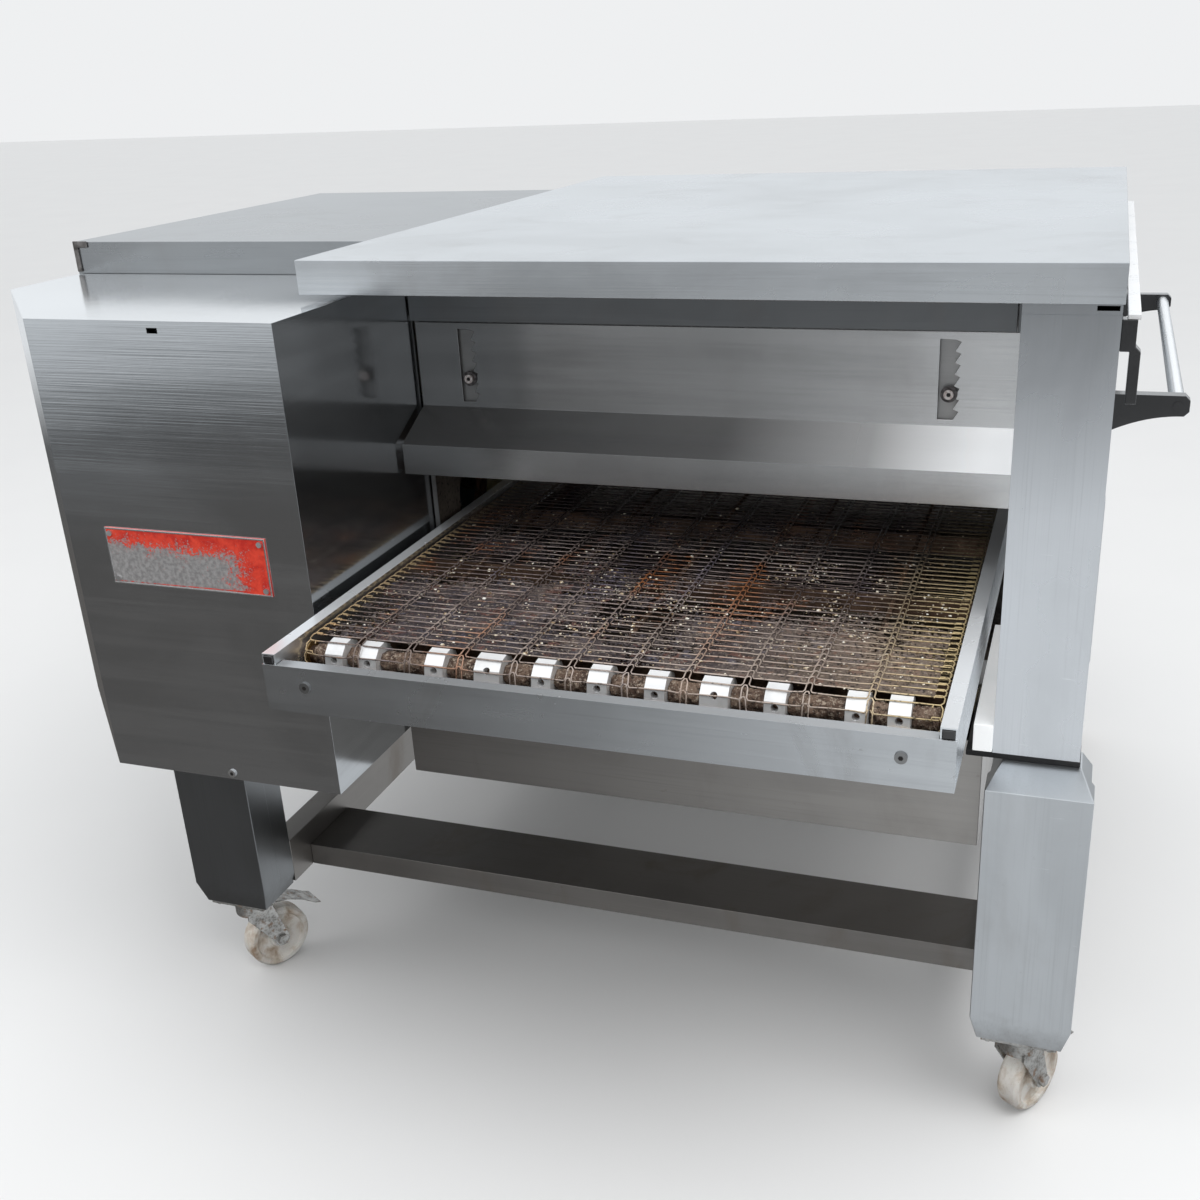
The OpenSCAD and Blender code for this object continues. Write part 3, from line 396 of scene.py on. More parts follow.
def nylon_wheel():
    """Off-white nylon with brown floor dirt worn into the tread."""
    s = Shader("wheel_nylon")
    cloud = s.noise(26.0, 4.0, 0.6, shift=2.0, distort=0.4)
    fine = s.noise(420.0, 3.0, 0.6, shift=7.0)
    colour = s.ramp(cloud, [(0.32, (0.33, 0.24, 0.17)), (0.44, (0.58, 0.51, 0.43)),
                            (0.56, (0.74, 0.71, 0.66)), (0.8, (0.84, 0.83, 0.80))])
    colour = s.mix(colour, (0.24, 0.15, 0.09), s.span(fine, 0.60, 0.76, 0.0, 0.45))
    return s.set(colour=colour, rough=s.span(cloud, 0.3, 0.7, 0.65, 0.38), normal=s.bump(fine, 0.12, 0.0004),
                 subsurface=0.03)


def clamp_steel():
    """Bright screw heads on dark washers, which lie closer to the baffle."""
    s = Shader("clamp_steel")
    head_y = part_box("baffle_clamp_screws")[1].y - 3.5 * MM
    head = s.span(s.math("ABSOLUTE", s.axis("Y")), head_y - 0.1 * MM, head_y + 0.1 * MM)
    cloud = s.noise(260.0, 3.0, 0.6, shift=2.0)
    bright = s.mix((0.46, 0.38, 0.36), (0.66, 0.62, 0.60), s.span(cloud, 0.4, 0.6))
    dark = s.mix((0.05, 0.045, 0.045), (0.13, 0.12, 0.12), s.span(cloud, 0.4, 0.6))
    return s.set(colour=s.mix(dark, bright, head), metal=0.8, rough=s.span(cloud, 0.3, 0.7, 0.30, 0.45),
                 normal=s.bump(cloud, 0.2, 0.0004))


def zinc():
    """Zinc-plated caster steel, dull and dirty."""
    s = Shader("caster_zinc")
    cloud = s.noise(52.0, 4.0, 0.6, shift=3.0)
    spangle = s.cells(230.0, 1.0)
    rust = s.noise(85.0, 4.0, 0.65, shift=12.0)
    colour = s.ramp(cloud, [(0.3, (0.20, 0.19, 0.175)), (0.7, (0.50, 0.49, 0.47))])
    colour = s.mix(colour, (0.62, 0.62, 0.61), s.span(spangle, 0.35, 0.6, 0.0, 0.35))
    dirt = s.span(rust, 0.54, 0.68)
    colour = s.mix(colour, (0.20, 0.105, 0.05), s.times(dirt, 0.8))
    return s.set(colour=colour, metal=s.span(dirt, 0.0, 1.0, 0.95, 0.2),
                 rough=s.span(cloud, 0.3, 0.7, 0.55, 0.36), normal=s.bump(rust, 0.3, 0.001))


def badge_enamel():
    """Red enamel flaked off a silver-grey plate. Most of the rest is along the top and at the right end."""
    s = Shader("badge_enamel")
    low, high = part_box("badge_plate")
    across = s.span(s.axis("X"), low.x - BELT_X, high.x - BELT_X, smooth=False)
    upward = s.span(s.axis("Z"), low.z, high.z, smooth=False)
    flake = s.noise(330.0, 4.0, 0.75, shift=3.0, distort=0.3)
    patch = s.noise(48.0, 4.0, 0.65, shift=8.0, distort=0.5)
    # Share of enamel that is left: full along the top, then less and less towards the lower left
    keep = s.times(s.span(upward, 0.45, 0.95), 0.60)
    keep = s.math("MAXIMUM", keep, s.times(s.span(across, 0.66, 0.95), 0.52))
    keep = s.plus(keep, s.times(across, 0.16))
    # A thin red line runs round near the border
    side = s.math("MINIMUM", s.minus(s.axis("Z"), low.z),
                  s.minus(high.z, s.axis("Z")))
    line = s.times(s.span(side, 3.0 * MM, 3.6 * MM), s.span(side, 5.2 * MM, 4.6 * MM))
    keep = s.plus(keep, s.times(line, 0.45))
    keep = s.plus(keep, s.times(s.minus(flake, 0.5), 1.5))
    keep = s.plus(keep, s.times(s.minus(patch, 0.5), 0.9))
    paint = s.span(keep, 0.40, 0.46)
    halo = s.span(keep, 0.22, 0.42)
    scuff = s.noise(160.0, 3.0, 0.6, shift=5.0)
    grey = s.mix((0.34, 0.33, 0.33), (0.52, 0.51, 0.51), s.span(scuff, 0.35, 0.65))
    red = s.mix((0.58, 0.020, 0.012), (0.84, 0.070, 0.035), s.span(patch, 0.35, 0.65))
    colour = s.mix(s.mix(grey, (0.56, 0.22, 0.20), s.times(halo, 0.55)), red, paint)
    return s.set(colour=colour, metal=s.span(paint, 0.0, 1.0, 0.55, 0.0),
                 rough=s.span(paint, 0.0, 1.0, 0.40, 0.34), normal=s.bump(paint, 0.3, 0.0002),
                 coat=s.times(paint, 0.4))


def wool():
    """Mineral wool: matted yellow-brown fibres."""
    s = Shader("wool")
    fibre = s.noise(1.0, 4.0, 0.7, (240.0, 240.0, 900.0), 3.0, 1.6)
    cloud = s.noise(26.0, 4.0, 0.6, shift=4.0)
    colour = s.ramp(fibre, [(0.3, (0.28, 0.23, 0.12)), (0.7, (0.66, 0.58, 0.36))])
    colour = s.mix(colour, (0.40, 0.33, 0.20), s.span(cloud, 0.4, 0.7, 0.0, 0.6))
    return s.set(colour=colour, rough=0.95, sheen=0.4, normal=s.bump(fibre, 0.9, 0.003))


def dark_glass():
    """A display window of smoked plastic."""
    s = Shader("display_glass")
    wipe = s.noise(60.0, 3.0, 0.6, stretch=(1, 1, 0.3), shift=2.0)
    return s.set(colour=s.mix((0.006, 0.007, 0.008), (0.02, 0.022, 0.024), wipe),
                 rough=s.span(wipe, 0.3, 0.7, 0.06, 0.20), coat=0.8, coat_rough=0.05)


def glow(name, colour, strength):
    """A lit segment behind the display window."""
    s = Shader(name)
    spread = s.noise(300.0, 2.0, 0.5, shift=1.0)
    tone = s.mix(tuple(0.7 * c for c in colour), colour, spread)
    return s.set(colour=tone, glow_colour=tone, glow=strength, rough=0.4)


def floor_material():
    s = Shader("floor")
    cloud = s.noise(2.0, 3.0, 0.5)
    seen = s.mix((0.80, 0.80, 0.80), (0.84, 0.84, 0.835), cloud)
    # Painted shade: the floor is pale to the camera but dark grey to every other ray, so little light bounces
    # onto the oven's undersides
    rays = s.add("ShaderNodeLightPath")
    return s.set(colour=s.mix((0.16, 0.15, 0.14), seen, rays.outputs["Is Camera Ray"]), rough=0.75)


COOL = (0.965, 1.0, 1.03)
# painted_top_light, wherever it is given below, lightens level faces as a painted highlight
steel("cover_steel", 0.64, 0.26, COOL, grime=0.10, shift=1.0)
# painted_side_shade darkens the cabinets' sides: painted shade
steel("casing_steel", 0.62, 0.13, COOL, grime=0.05, painted_side_shade=0.30, painted_top_light=0.35, shift=5.0)
steel("housing_steel", 0.35, 0.28, COOL, grime=0.10, shift=6.0)
# fascia_shade_steel's very dark tone is painted shade of the fascias' recess under the cover
steel("fascia_shade_steel", 0.17, 0.30, COOL, grime=0.12, shift=8.0)
# across, here and below, scales the colour by brightness stops against X: painted light and shade
steel("panel_steel", 0.62, 0.40, metal=0.45, grime=0.20,
      across=[(-0.42, 0.35), (-0.25, 0.45), (0.25, 0.62), (0.43, 0.75)], shift=10.0)
# The baffles carry painted shade to the left and painted light to the right (across), and a painted sheen
# that glows on their upward faces, strongest at the right end (slope)
steel("baffle_steel", 0.72, 0.24, grime=0.08, shift=7.0,
      across=[(-0.42, 0.34), (-0.27, 0.36), (-0.24, 0.50), (0.05, 0.52), (0.25, 0.72), (0.43, 1.05)],
      painted_glow_across=[(-0.42, 0.03), (-0.20, 0.05), (0.05, 0.09), (0.25, 0.34), (0.40, 1.0)])
# rise darkens the posts towards their tops: painted shade under the cover
steel("post_steel", 0.76, 0.27, (0.97, 1.0, 1.035), grime=0.04, upright=True,
      rise=[(0.60, 1.0), (0.90, 0.96), (1.06, 0.62), (1.15, 0.50)], shift=9.0)
steel("rail_steel", 0.82, 0.26, COOL, grime=0.16, painted_top_light=0.9, shift=14.0)
steel("plate_steel", 0.64, 0.26, COOL, grime=0.18, painted_top_light=0.55,
      across=[(-0.42, 0.80), (0.0, 0.76), (0.30, 0.96), (0.42, 1.0)], shift=15.0)
# painted_left_shade darkens the stand's left legs: painted shade
steel("stand_steel", 0.62, 0.30, COOL, grime=0.10, low_dirt=0.14, upright=True, painted_left_shade=0.75, shift=21.0)
# plank_shade_steel's dark tone is painted shade under the oven; the grime on it is dirt
steel("plank_shade_steel", 0.22, 0.40, (1.06, 1.0, 0.94), grime=0.35, shift=23.0)
steel("belly_steel", 0.37, 0.32, (1.05, 1.0, 0.95), grime=0.16,
      across=[(-0.42, 0.60), (0.0, 0.78), (0.40, 1.0)], shift=26.0)
steel("fastener_steel", 0.72, 0.26, grime=0.2, shift=31.0)
steel("screw_steel", 0.66, 0.32, grime=0.2, across=[(-0.48, 1.0), (-0.44, 0.45)], shift=32.0)
# socket_shade is painted shade: a dark colour standing in for the screws' socket hollows
oily_steel("socket_shade", [(0.35, (0.010, 0.009, 0.009)), (0.65, (0.030, 0.026, 0.024))], 0.5, 0.4, 30.0)
oily_steel("bracket_steel",
           [(0.35, (0.07, 0.065, 0.06)), (0.55, (0.20, 0.19, 0.185)), (0.70, (0.34, 0.33, 0.32))], 0.55,
           0.5, 60.0)
steel("hub_aluminium", 0.92, 0.42, grime=0.22, metal=0.55, painted_top_light=0.5, shift=34.0)
oily_steel("tunnel_steel",
           [(0.3, (0.06, 0.048, 0.04)), (0.5, (0.12, 0.095, 0.075)), (0.72, (0.20, 0.165, 0.13))], 0.5, 0.8,
           7.0)
oily_steel("dark_steel",
           [(0.3, (0.05, 0.035, 0.028)), (0.5, (0.13, 0.08, 0.055)), (0.7, (0.24, 0.15, 0.10))], 0.6, 0.6,
           24.0, 4.0)
oily_steel("heater_alloy",
           [(0.3, (0.10, 0.05, 0.035)), (0.6, (0.26, 0.13, 0.09)), (0.8, (0.34, 0.22, 0.17))], 0.6, 0.6,
           30.0, 6.0)
oily_steel("bearing_bronze",
           [(0.3, (0.30, 0.18, 0.07)), (0.6, (0.58, 0.38, 0.16)), (0.8, (0.70, 0.52, 0.26))], 0.35, 0.95,
           60.0, 8.0)
plastic("black_plastic", (0.012, 0.012, 0.013), 0.16, 0.5, 500.0, 0.04, 0.10)
plastic("panel_plastic", (0.055, 0.058, 0.062), 0.42, 0.0, 1300.0, 0.12, 0.15)
plastic("green_plastic", (0.02, 0.34, 0.07), 0.25, 0.4, 900.0, 0.05, 0.1)
plastic("red_plastic", (0.55, 0.02, 0.015), 0.25, 0.4, 900.0, 0.05, 0.1)
plastic("gasket_rubber", (0.014, 0.014, 0.015), 0.75, 0.0, 700.0, 0.4, 0.3)
plastic("cable_rubber", (0.018, 0.018, 0.019), 0.6, 0.0, 800.0, 0.2, 0.2)
plastic("guard_enamel", (0.78, 0.79, 0.80), 0.3, 0.3, 300.0, 0.05, 0.1)
# The filler bars glow a little (lit): painted light, since they are no lamp
plastic("bar_enamel", (0.80, 0.82, 0.83), 0.35, 0.2, 300.0, 0.05, 0.1, lit=0.55)
plastic("motor_paint", (0.07, 0.13, 0.18), 0.4, 0.2, 260.0, 0.2, 0.3)
for make in (clamp_steel, belt_wire, crumb, residue, crust, zinc, nylon_wheel, badge_enamel, wool,
             dark_glass):
    make()


# ---------------------------------------------------------------------------
# Mesh helpers
# ---------------------------------------------------------------------------


def new_piece(name, shape, material, body, smooth=True):
    """Links a piece that rides on a body, made from a shape, which is a pair of points and faces."""
    mesh = mesh_from(name, *shape)
    piece = bpy.data.objects.new(name, mesh)
    bpy.context.scene.collection.objects.link(piece)
    mesh.materials.clear()
    mesh.materials.append(MATERIALS[material])
    if smooth:
        mesh.polygons.foreach_set("use_smooth", [True] * len(mesh.polygons))
    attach(piece, body)
    return piece


def mesh_from(name, points, faces):
    mesh = bpy.data.meshes.new(name)
    mesh.from_pydata([tuple(p) for p in points], [], faces)
    mesh.update()
    return mesh


def soften(piece, width, segments=2, angle=32):
    """Rounds a piece's sharp edges, as folded sheet and machined edges are."""
    bevel = piece.modifiers.new("round", "BEVEL")
    bevel.width = width
    bevel.segments = segments
    bevel.limit_method = "ANGLE"
    bevel.angle_limit = math.radians(angle)
    even = piece.modifiers.new("even", "WEIGHTED_NORMAL")
    even.mode = "FACE_AREA"
    even.weight = 100
    return piece


def refine(node, material, round_width):
    """Joins a CAD node's faces and rounds its edges with modifiers, and gives it its material."""
    piece = dress(node, material)
    weld = piece.modifiers.new("weld", "WELD")
    weld.merge_threshold = 0.01 * MM
    # A face with slots in it can't be one flat polygon, so a slotted piece keeps its triangles
    if node not in SLOTTED:
        flat = piece.modifiers.new("flat", "DECIMATE")
        flat.decimate_type = "DISSOLVE"
        flat.angle_limit = math.radians(0.5)
    soften(piece, round_width)
    return piece


def dress(node, material):
    """Gives a CAD node its material."""
    piece = frame["nodes"][node]
    if not piece.material_slots:
        piece.data.materials.append(None)
    for place in piece.material_slots:
        place.material = MATERIALS[material]
    return piece


def lathe(profile, steps=32):
    """Points and faces of a profile of (radius, height) turned about Z."""
    points, faces = [], []
    for i in range(steps):
        a = math.tau * i / steps
        points += [(r * math.cos(a), r * math.sin(a), h) for r, h in profile]
    n = len(profile)
    for i in range(steps):
        j = (i + 1) % steps
        faces += [(i * n + k, j * n + k, j * n + k + 1, i * n + k + 1) for k in range(n - 1)]
    return points, faces


def join_shapes(shapes):
    """One list of points and faces from several (points, faces) shapes."""
    points, faces = [], []
    for more_points, more_faces in shapes:
        base = len(points)
        points += list(more_points)
        faces += [tuple(base + i for i in face) for face in more_faces]
    return points, faces


def placed(shape, matrix):
    """A shape moved by a matrix."""
    return [tuple(matrix @ Vector(p)) for p in shape[0]], shape[1]


def block(low, high):
    """A six-sided block between two corners."""
    (x0, y0, z0), (x1, y1, z1) = low, high
    points = [(x, y, z) for z in (z0, z1) for y in (y0, y1) for x in (x0, x1)]
    faces = [(0, 2, 3, 1), (4, 5, 7, 6), (0, 1, 5, 4), (2, 6, 7, 3), (0, 4, 6, 2), (1, 3, 7, 5)]
    return points, faces


# ---------------------------------------------------------------------------
# Casing, stand and other CAD shapes
# ---------------------------------------------------------------------------

CASTERS = ("near_right", "near_left", "far_right", "far_left")
SLOTTED = ("near_baffle", "far_baffle")
# Nodes whose edges are rounded, each with its material and the rounding's width in millimetres
REFINED = {
    "top_cover": ("cover_steel", 1.0), "door_posts": ("post_steel", 1.0), "fascias": ("fascia_shade_steel", 0.6),
    "belly_housing": ("belly_steel", 1.0),
    "drive_cabinet": ("casing_steel", 1.0), "electrics_cabinet": ("casing_steel", 1.0),
    "fan_housing": ("housing_steel", 0.8), "conveyor_rails": ("rail_steel", 1.2),
    "rail_end_caps": ("black_plastic", 0.8), "end_plates": ("plate_steel", 0.8),
    "filler_bars": ("bar_enamel", 1.0), "base_gaskets": ("gasket_rubber", 1.5),
    "stand_legs": ("stand_steel", 1.2), "side_beams": ("plank_shade_steel", 1.0),
    "stand_planks": ("plank_shade_steel", 1.0),
    "edge_guard": ("guard_enamel", 1.0), "guard_brackets": ("black_plastic", 1.2),
    "near_baffle": ("baffle_steel", 1.1), "far_baffle": ("baffle_steel", 1.1), "door": ("casing_steel", 1.0),
    "door_handle": ("rail_steel", 0.5), "handle_brackets": ("black_plastic", 1.4),
    "drive_hubs": ("hub_aluminium", 0.5), "idler_hubs": ("hub_aluminium", 0.5),
    "control_panel": ("panel_plastic", 0.8), "main_switch": ("black_plastic", 0.8),
    "start_button": ("green_plastic", 1.0), "stop_button": ("red_plastic", 1.0),
    "badge_plate": ("badge_enamel", 0.5), "caster_plates": ("caster_zinc", 0.6),
    **{place + "_fork": ("caster_zinc", 0.7) for place in CASTERS},
    **{place + "_wheel": ("wheel_nylon", 1.0) for place in CASTERS},
}
DRESSED = {
    "tunnel_liner": "tunnel_steel", "insulation": "wool", "face_panels": "panel_steel",
    "panel_screws": "screw_steel",
    "belt_supports": "dark_steel", "crumb_trays": "tunnel_steel", "air_ducts": "tunnel_steel",
    "heating_elements": "heater_alloy", "fan_motors": "motor_paint", "power_cable": "cable_rubber",
    "gearmotor": "motor_paint", "drive_chain": "dark_steel", "shaft_bearings": "bearing_bronze",
    "baffle_clamp_screws": "clamp_steel", "drive_shaft": "dark_steel", "drive_sprocket": "dark_steel",
    "idler_shaft": "dark_steel", "motor_sprocket": "dark_steel", "door_liner": "tunnel_steel",
    "near_fan": "tunnel_steel", "far_fan": "tunnel_steel",
}
for node, (material, width) in REFINED.items():
    refine(node, material, width * MM)
for node, material in DRESSED.items():
    dress(node, material)


# ---------------------------------------------------------------------------
# Wire belt
# ---------------------------------------------------------------------------

BELT_HALF = BELT_HIGH.x - BELT_X
WRAP_R = (BELT_HIGH.z - BELT_LOW.z) / 2
ROLLER_Z = (BELT_HIGH.z + BELT_LOW.z) / 2
ROLLER_Y = BELT_HIGH.y - WRAP_R
WIRE_R = 0.95 * MM
# The wires rest on the roller hubs, and their hooks rise above them
WIRE_LOOP_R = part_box("drive_hubs")[1].z - ROLLER_Z + 0.9 * MM + WIRE_R
RUN = 2 * ROLLER_Y
TURN = math.pi * WIRE_LOOP_R
LOOP = 2 * (RUN + TURN)
WIRES = round(LOOP / (16.1 * MM))
PITCH = LOOP / WIRES
# One wire lies on the hubs' corner that is this far round the near roller
FIRST_WIRE = -math.radians(26) * WIRE_LOOP_R
# Mean radius of the crust on a roller's shaft, in millimetres
CRUST_R = 13.2
COLUMN_PITCH = 71.5 * MM
COLUMNS = [(k - 4.5) * COLUMN_PITCH - 3 * MM for k in range(10)]


def on_loop(points):
    """Maps (x, distance along the belt, height above its wires) to the belt's loop. Distance 0 is at the near
    end of the upper run, and it grows towards the far end."""
    x, s, h = points.T
    s = np.mod(s, LOOP)
    y = np.empty_like(s)
    z = np.empty_like(s)
    upper = s < RUN
    y[upper] = s[upper] - ROLLER_Y
    z[upper] = ROLLER_Z + WIRE_LOOP_R + h[upper]
    far = (s >= RUN) & (s < RUN + TURN)
    a = (s[far] - RUN) / WIRE_LOOP_R
    y[far] = ROLLER_Y + (WIRE_LOOP_R + h[far]) * np.sin(a)
    z[far] = ROLLER_Z + (WIRE_LOOP_R + h[far]) * np.cos(a)
    lower = (s >= RUN + TURN) & (s < 2 * RUN + TURN)
    y[lower] = ROLLER_Y - (s[lower] - RUN - TURN)
    z[lower] = ROLLER_Z - WIRE_LOOP_R - h[lower]
    near = s >= 2 * RUN + TURN
    a = (s[near] - 2 * RUN - TURN) / WIRE_LOOP_R
    y[near] = -ROLLER_Y - (WIRE_LOOP_R + h[near]) * np.sin(a)
    z[near] = ROLLER_Z - (WIRE_LOOP_R + h[near]) * np.cos(a)
    return np.stack([BELT_X + x, y, z], -1)


def tube(line, r, sides):
    """Points and faces of a round wire along a line that lies nearly flat in (x, s, h)."""
    line = np.asarray(line)
    tangent = np.gradient(line, axis=0)
    tangent /= np.linalg.norm(tangent, axis=1, keepdims=True)
    across = np.cross(tangent, (0.0, 0.0, 1.0))
    across /= np.linalg.norm(across, axis=1, keepdims=True)
    up = np.cross(across, tangent)
    a = np.arange(sides) * math.tau / sides
    rings = (line[:, None] + r * (np.cos(a)[None, :, None] * across[:, None]
                                  + np.sin(a)[None, :, None] * up[:, None]))
    n = len(line)
    faces = []
    for i in range(n - 1):
        for k in range(sides):
            j = (k + 1) % sides
            faces.append((i * sides + k, i * sides + j, (i + 1) * sides + j, (i + 1) * sides + k))
    faces.append(tuple(range(sides))[::-1])
    faces.append(tuple((n - 1) * sides + k for k in range(sides)))
    return rings.reshape(-1, 3), faces


def wire_line(s, random):
    """One wire across the belt. It runs straight between the columns. At each column a short loop of it hooks
    the next wire, and a longer loop does so at each edge."""
    edge = BELT_HALF - 2.0 * MM
    w = 3.4 * MM
    p = PITCH
    hook = [(edge - 12 * MM, s + 0.80 * p, 0.5 * MM), (edge - 11 * MM, s + 1.08 * p, 1.1 * MM),
            (edge - 3 * MM, s + 1.10 * p, 1.1 * MM), (edge, s + 0.80 * p, 0.5 * MM),
            (edge - 0.4 * MM, s + 0.28 * p, 0.0), (edge - 4 * MM, s + 0.02 * p, 0.0)]
    line = [(-x, y, z) for x, y, z in hook]
    stops = [-edge] + COLUMNS + [edge]
    for left, right in zip(stops[:-1], stops[1:]):
        sag = random.normal(0, 0.9 * MM)
        lift = random.uniform(0, 0.5 * MM)
        third = (right - left) / 3
        line += [(left + third * 0.8, s + sag * 0.7, lift * 0.7), (right - third * 0.8, s + sag, lift)]
        if right != edge:
            c = right
            skew = random.normal(0, 0.5 * MM)
            line += [(c - w - 2 * MM, s, 0.0), (c - w, s + 0.18 * p, 0.1 * MM),
                     (c - w + skew, s + 0.86 * p, 0.7 * MM), (c - w + 2 * MM, s + 1.09 * p, 1.1 * MM),
                     (c + w - 2 * MM, s + 1.09 * p, 1.1 * MM), (c + w + skew, s + 0.86 * p, 0.7 * MM),
                     (c + w, s + 0.18 * p, 0.1 * MM), (c + w + 2 * MM, s, 0.0)]
    return line + hook[::-1]


def wire_belt():
    random = np.random.default_rng(11)
    sides = 5
    all_points, all_faces, base = [], [], 0
    for i in range(WIRES):
        place = FIRST_WIRE + i * PITCH + (random.normal(0, 0.9 * MM) if i > 3 else 0.0)
        points, faces = tube(wire_line(place, random), WIRE_R, sides)
        all_points.append(on_loop(points))
        all_faces += [tuple(base + k for k in face) for face in faces]
        base += len(points)
    shape = np.concatenate(all_points), all_faces
    piece = new_piece("wire_belt", shape, "belt_wire", "oven")
    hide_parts("belt")


def smooth_field(random, rows, columns, cell):
    """Random values from 0 to 1 on a grid, smooth over a number of cells."""
    coarse = random.random((rows // cell + 2, columns // cell + 2))
    r = np.linspace(0, coarse.shape[0] - 1.001, rows)
    c = np.linspace(0, coarse.shape[1] - 1.001, columns)
    ri, ci = r.astype(int), c.astype(int)
    fr, fc = (r - ri)[:, None], (c - ci)[None, :]
    return ((coarse[ri][:, ci] * (1 - fr) + coarse[ri + 1][:, ci] * fr) * (1 - fc)
            + (coarse[ri][:, ci + 1] * (1 - fr) + coarse[ri + 1][:, ci + 1] * fr) * fc)


def belt_residue():
    """Ragged plates of burnt residue that bridge the wires of the upper run, mostly near its near end."""
    random = np.random.default_rng(31)
    step_x, step_y = 3.1 * MM, 2.3 * MM
    columns = int(2 * 0.965 * BELT_HALF / step_x)
    rows = int((RUN - 40 * MM) / step_y)
    field = (0.45 * smooth_field(random, rows, columns, 40) + 0.30 * smooth_field(random, rows, columns, 11)
             + 0.25 * random.random((rows, columns)))
    along = np.arange(rows)[:, None] * step_y
    across = np.linspace(-1, 1, columns)[None, :]
    # Share of the belt that is covered: most of it near the near end, little farther in
    cover = 0.30 + 0.34 * np.exp(-(along / 0.20) ** 2) - 0.10 * across ** 4
    keep = field < cover + 0.06
    height = -0.9 * MM + 0.8 * MM * (random.random((rows + 1, columns + 1)) - 0.5)
    shift_x = 0.35 * step_x * (random.random((rows + 1, columns + 1)) - 0.5)
    shift_y = 0.35 * step_y * (random.random((rows + 1, columns + 1)) - 0.5)
    number = -np.ones((rows + 1, columns + 1), int)
    points, faces = [], []
    for i, j in zip(*np.nonzero(keep)):
        corners = []
        for a, b in ((i, j), (i, j + 1), (i + 1, j + 1), (i + 1, j)):
            if number[a, b] < 0:
                number[a, b] = len(points)
                points.append((-0.965 * BELT_HALF + b * step_x + shift_x[a, b],
                               8 * MM + a * step_y + shift_y[a, b], height[a, b]))
            corners.append(number[a, b])
        faces.append(tuple(corners))
    shape = on_loop(np.array(points)), faces
    piece = new_piece("belt_residue", shape, "belt_residue", "oven")
    thick = piece.modifiers.new("thick", "SOLIDIFY")
    thick.thickness = 0.9 * MM
    thick.offset = 0


def lump(centre, size, random):
    """A small rough grain."""
    bm = bmesh.new()
    bmesh.ops.create_icosphere(bm, subdivisions=1, radius=1.0)
    scale = random.uniform(0.55, 1.25, 3) * size
    scale[2] *= 0.45
    points = [tuple(np.array(v.co) * scale * random.uniform(0.75, 1.2) + centre) for v in bm.verts]
    faces = [tuple(v.index for v in f.verts) for f in bm.faces]
    bm.free()
    return points, faces


def crumbs():
    """Crumbs and flakes caught in the mesh of the upper run, thickest near its near end."""
    random = np.random.default_rng(23)
    shapes = []
    clumps = [(random.uniform(-0.3, 0.9) * BELT_HALF, -ROLLER_Y + random.uniform(0.06, 0.42))
              for _ in range(26)]
    for k in range(2600):
        if k % 3:
            x = random.uniform(-0.97, 0.97) * BELT_HALF
            y = -ROLLER_Y + abs(random.normal(0, 0.30))
        else:
            x, y = np.array(clumps[k % len(clumps)]) + random.normal(0, 0.016, 2)
        if y > ROLLER_Y or abs(x) > 0.97 * BELT_HALF:
            continue
        size = min((0.55 + random.exponential(0.65)) * MM, 3.4 * MM)
        z = ROLLER_Z + WIRE_LOOP_R + random.uniform(-0.8, 0.9) * MM
        shapes.append(lump(np.array([BELT_X + x, y, z]), size, random))
    new_piece("belt_crumbs", join_shapes(shapes), "crumb", "oven")


def roller_crust(name, body, node, y):
    """Caked crumbs and rust round a roller's shaft, between its hubs."""
    random = np.random.default_rng(5 if y < 0 else 6)
    marks = np.unique([round(v.co.x, 4) for v in frame["nodes"][node].data.vertices])
    edges = [marks[0]]
    for a, b in zip(marks[:-1], marks[1:]):
        if b - a > 15 * MM:
            edges += [a, b]
    edges.append(marks[-1])
    starts = [BELT_LOW.x + 6 * MM] + edges[1::2]
    ends = edges[0::2] + [BELT_HIGH.x - 6 * MM]
    shapes = []
    for x0, x1 in zip(starts, ends):
        if x1 - x0 < 4 * MM:
            continue
        steps = max(6, int((x1 - x0) / (2.2 * MM)))
        sides = 36
        wave = random.uniform(0, math.tau, 8)
        points, faces = [], []
        for i in range(steps + 1):
            t = i / steps
            x = x0 + (x1 - x0) * (0.004 + 0.992 * t)
            for k in range(sides):
                a = math.tau * k / sides
                r = CRUST_R + 0.60 * math.sin(3 * a + wave[0] + 9 * t)
                r += 0.50 * math.sin(5 * a + wave[1] - 14 * t)
                r += 0.50 * math.sin(7 * a + wave[2] + 23 * t) + random.normal(0, 0.60)
                r -= 1.8 * max(0.0, 1 - 14 * min(t, 1 - t))
                points.append((x, y + r * MM * math.cos(a), ROLLER_Z + r * MM * math.sin(a)))
        for i in range(steps):
            for k in range(sides):
                j = (k + 1) % sides
                faces.append((i * sides + k, (i + 1) * sides + k, (i + 1) * sides + j, i * sides + j))
        faces.append(tuple(range(sides)))
        faces.append(tuple(steps * sides + k for k in range(sides))[::-1])
        shapes.append((points, faces))
    new_piece(name, join_shapes(shapes), "roller_crust", body)


wire_belt()
belt_residue()
crumbs()
roller_crust("near_roller_crust", "drive_roller", "drive_hubs", -ROLLER_Y)
roller_crust("far_roller_crust", "idler_roller", "idler_hubs", ROLLER_Y)


# ---------------------------------------------------------------------------
# Small details
# ---------------------------------------------------------------------------


